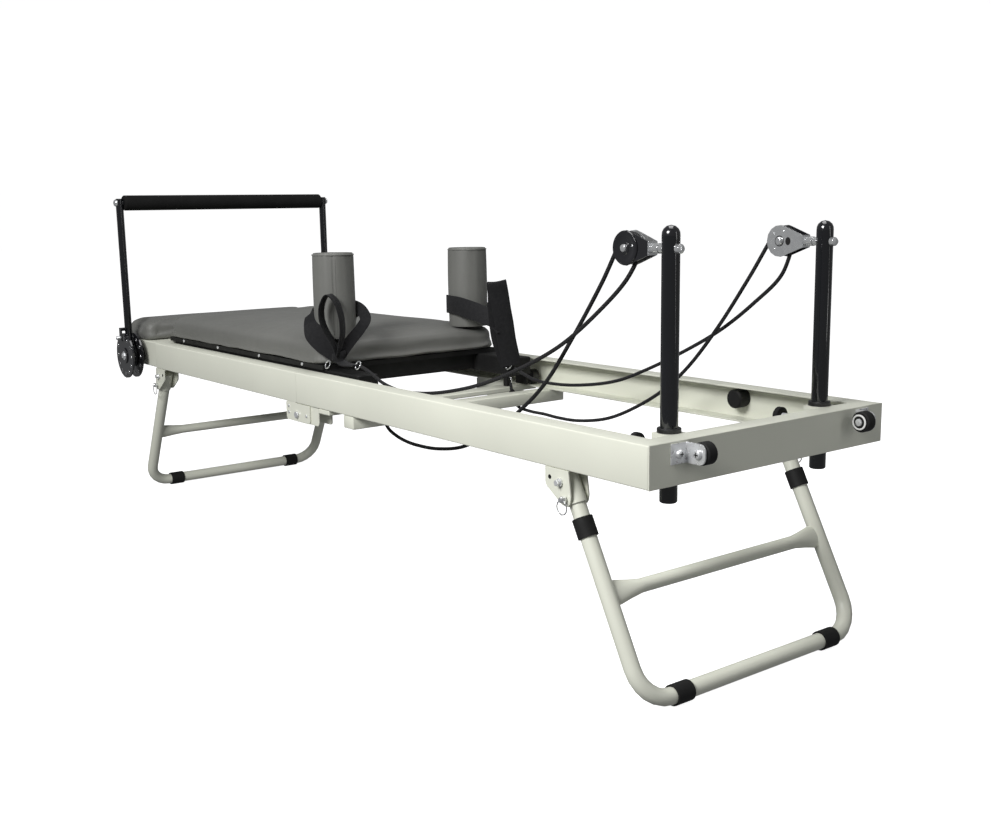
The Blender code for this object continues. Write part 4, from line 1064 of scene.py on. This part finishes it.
def make_fittings():
    heads, slots, screws, eyes = (bmesh.new() for _ in range(4))
    caps, discs, rims, snaps, eyelets = (bmesh.new() for _ in range(5))
    for side in SIDES.values():
        add_frame_fittings(heads, discs, side)
        add_wheel_fittings(heads, slots, rims, discs, side)
        add_bar_fittings(heads, caps, eyelets, side)
        add_carriage_fittings(eyes, snaps, screws, side)
    for d, y, z in STRAP_RINGS:
        centre = Vector((along(d), y, z))
        add_wire_ring(eyes, centre, Vector((0.010, 0, 0)), Vector((0, 0.004, 0.009)), 0.0017, 28)
    piece("frame_screws", heads, ZINC, "frame")
    piece("hub_rims", rims, WHITE_HUB, "frame")
    piece("adjuster_eyelets", eyelets, CHROME, "frame")
    piece("snap_rings", snaps, GLOSS, "carriage")
    # The dark crosses in the screw heads are painted shade standing in for their recesses.
    piece("screw_slot_shade", slots, BLACK_PAINT_AND_SHADE, "frame")
    # The bracket discs are painted shade of the holes; the wheel hubs' faces are their own black.
    piece("bracket_hole_shade_and_hub_faces", discs, BLACK_PAINT_AND_SHADE, "frame")
    piece("carriage_screws", screws, ZINC, "carriage")
    piece("carriage_rings", eyes, CHROME, "carriage")
    piece("foot_bar_caps", caps, CHROME, "foot_bar_assembly")


DISC_FACE, CHEEK_FACE = 0.0117, 0.0119
DISC_PROFILE = [
    (0.0300, 0), (0.0305, 0.0012), (0.0295, 0.0028), (0.0235, 0.0034), (0.0215, 0.0022),
    (0.0120, 0.0022), (0.0105, 0.0040), (0.006, 0.0042),
]
SLOT_AT, SLOT_HALF_WIDE, SLOT_HALF_TALL = 0.021, 0.0060, 0.0078


def make_pulley_dress():
    """The pulleys' faces: a dished black disc outboard, and bolts and a slot of painted shade
    inboard.
    """
    for label, side in SIDES.items():
        body = f"pulley_{label}_body"
        out, inward = Vector((0, side, 0)), Vector((0, -side, 0))
        at = Vector((along(PULLEY_AT), side * POST_Y, PULLEY_Z))
        bm = bmesh.new()
        add_lathe(bm, DISC_PROFILE, at + DISC_FACE * out, out, 48)
        piece(f"pulley_disc_{label}", bm, GLOSS, body)
        bm = bmesh.new()
        add_pan_head(bm, at + 0.0158 * out, out, 0.0072)
        add_hex(bm, at + CHEEK_FACE * inward, inward, 0.0068, 0.0048)
        for dx, dz in ((-0.015, 0.014), (-0.012, -0.016), (0.010, 0.019)):
            add_pan_head(bm, at + CHEEK_FACE * inward + Vector((dx, 0, dz)), inward, 0.0026)
        piece(f"pulley_bolts_{label}", bm, CHROME, body)
        # A flat black oval on the inner cheek in place of the slot's opening: painted shade. The
        # washer round the nut is black.
        bm = bmesh.new()
        rings = []
        for depth in (0.0118, 0.01235):
            middle = at + depth * inward + Vector((SLOT_AT, 0, 0))
            ring = []
            for k in range(24):
                c, s = circle(k, 24)
                ring.append(middle + Vector((SLOT_HALF_WIDE * c, 0, SLOT_HALF_TALL * s)))
            rings.append(ring)
        add_loft(bm, rings)
        washer = [(0.0090, 0), (0.0090, 0.0006), (0.0105, 0.0006), (0.0105, 0)]
        add_ring(bm, washer, at + CHEEK_FACE * inward, inward, 32)
        piece(f"pulley_slot_shade_and_washer_{label}", bm, BLACK_PAINT_AND_SHADE, body)


def make_stage():
    """A white floor and backdrop. Neither throws light back onto the object."""
    shade = Shade("studio_white", emission_color=(1, 1, 1, 1), emission_strength=0.93)
    patches = shade.spread(shade.noise(0.6), 0, 1)
    shade.colours((0.80, 0.80, 0.80), (0.82, 0.82, 0.82), patches)
    shade.roughness(shade.noise(3.0), 0.9, 0.95)
    bm = bmesh.new()
    bmesh.ops.create_circle(bm, cap_ends=True, segments=64, radius=30)
    floor = piece("floor", bm, shade.material)
    floor.location.z = -0.0002
    glow = Shade("backdrop_white", emission_color=(1, 1, 1, 1), emission_strength=1.0)
    glow.colours((0.0, 0.0, 0.0), (0.01, 0.01, 0.01), glow.spread(glow.noise(0.6), 0, 1))
    bm = bmesh.new()
    bmesh.ops.create_uvsphere(bm, u_segments=48, v_segments=24, radius=30.5)
    backdrop = piece("backdrop", bm, glow.material)
    for each in (floor, backdrop):
        each.visible_diffuse = False
        each.visible_glossy = False
        each.visible_shadow = False


make_studio()
make_stage()
make_ropes()
make_metalwork()
make_pads()
make_shoulder_rests()
make_near_strap()
make_far_strap()
make_springs()
make_fittings()
make_pulley_dress()
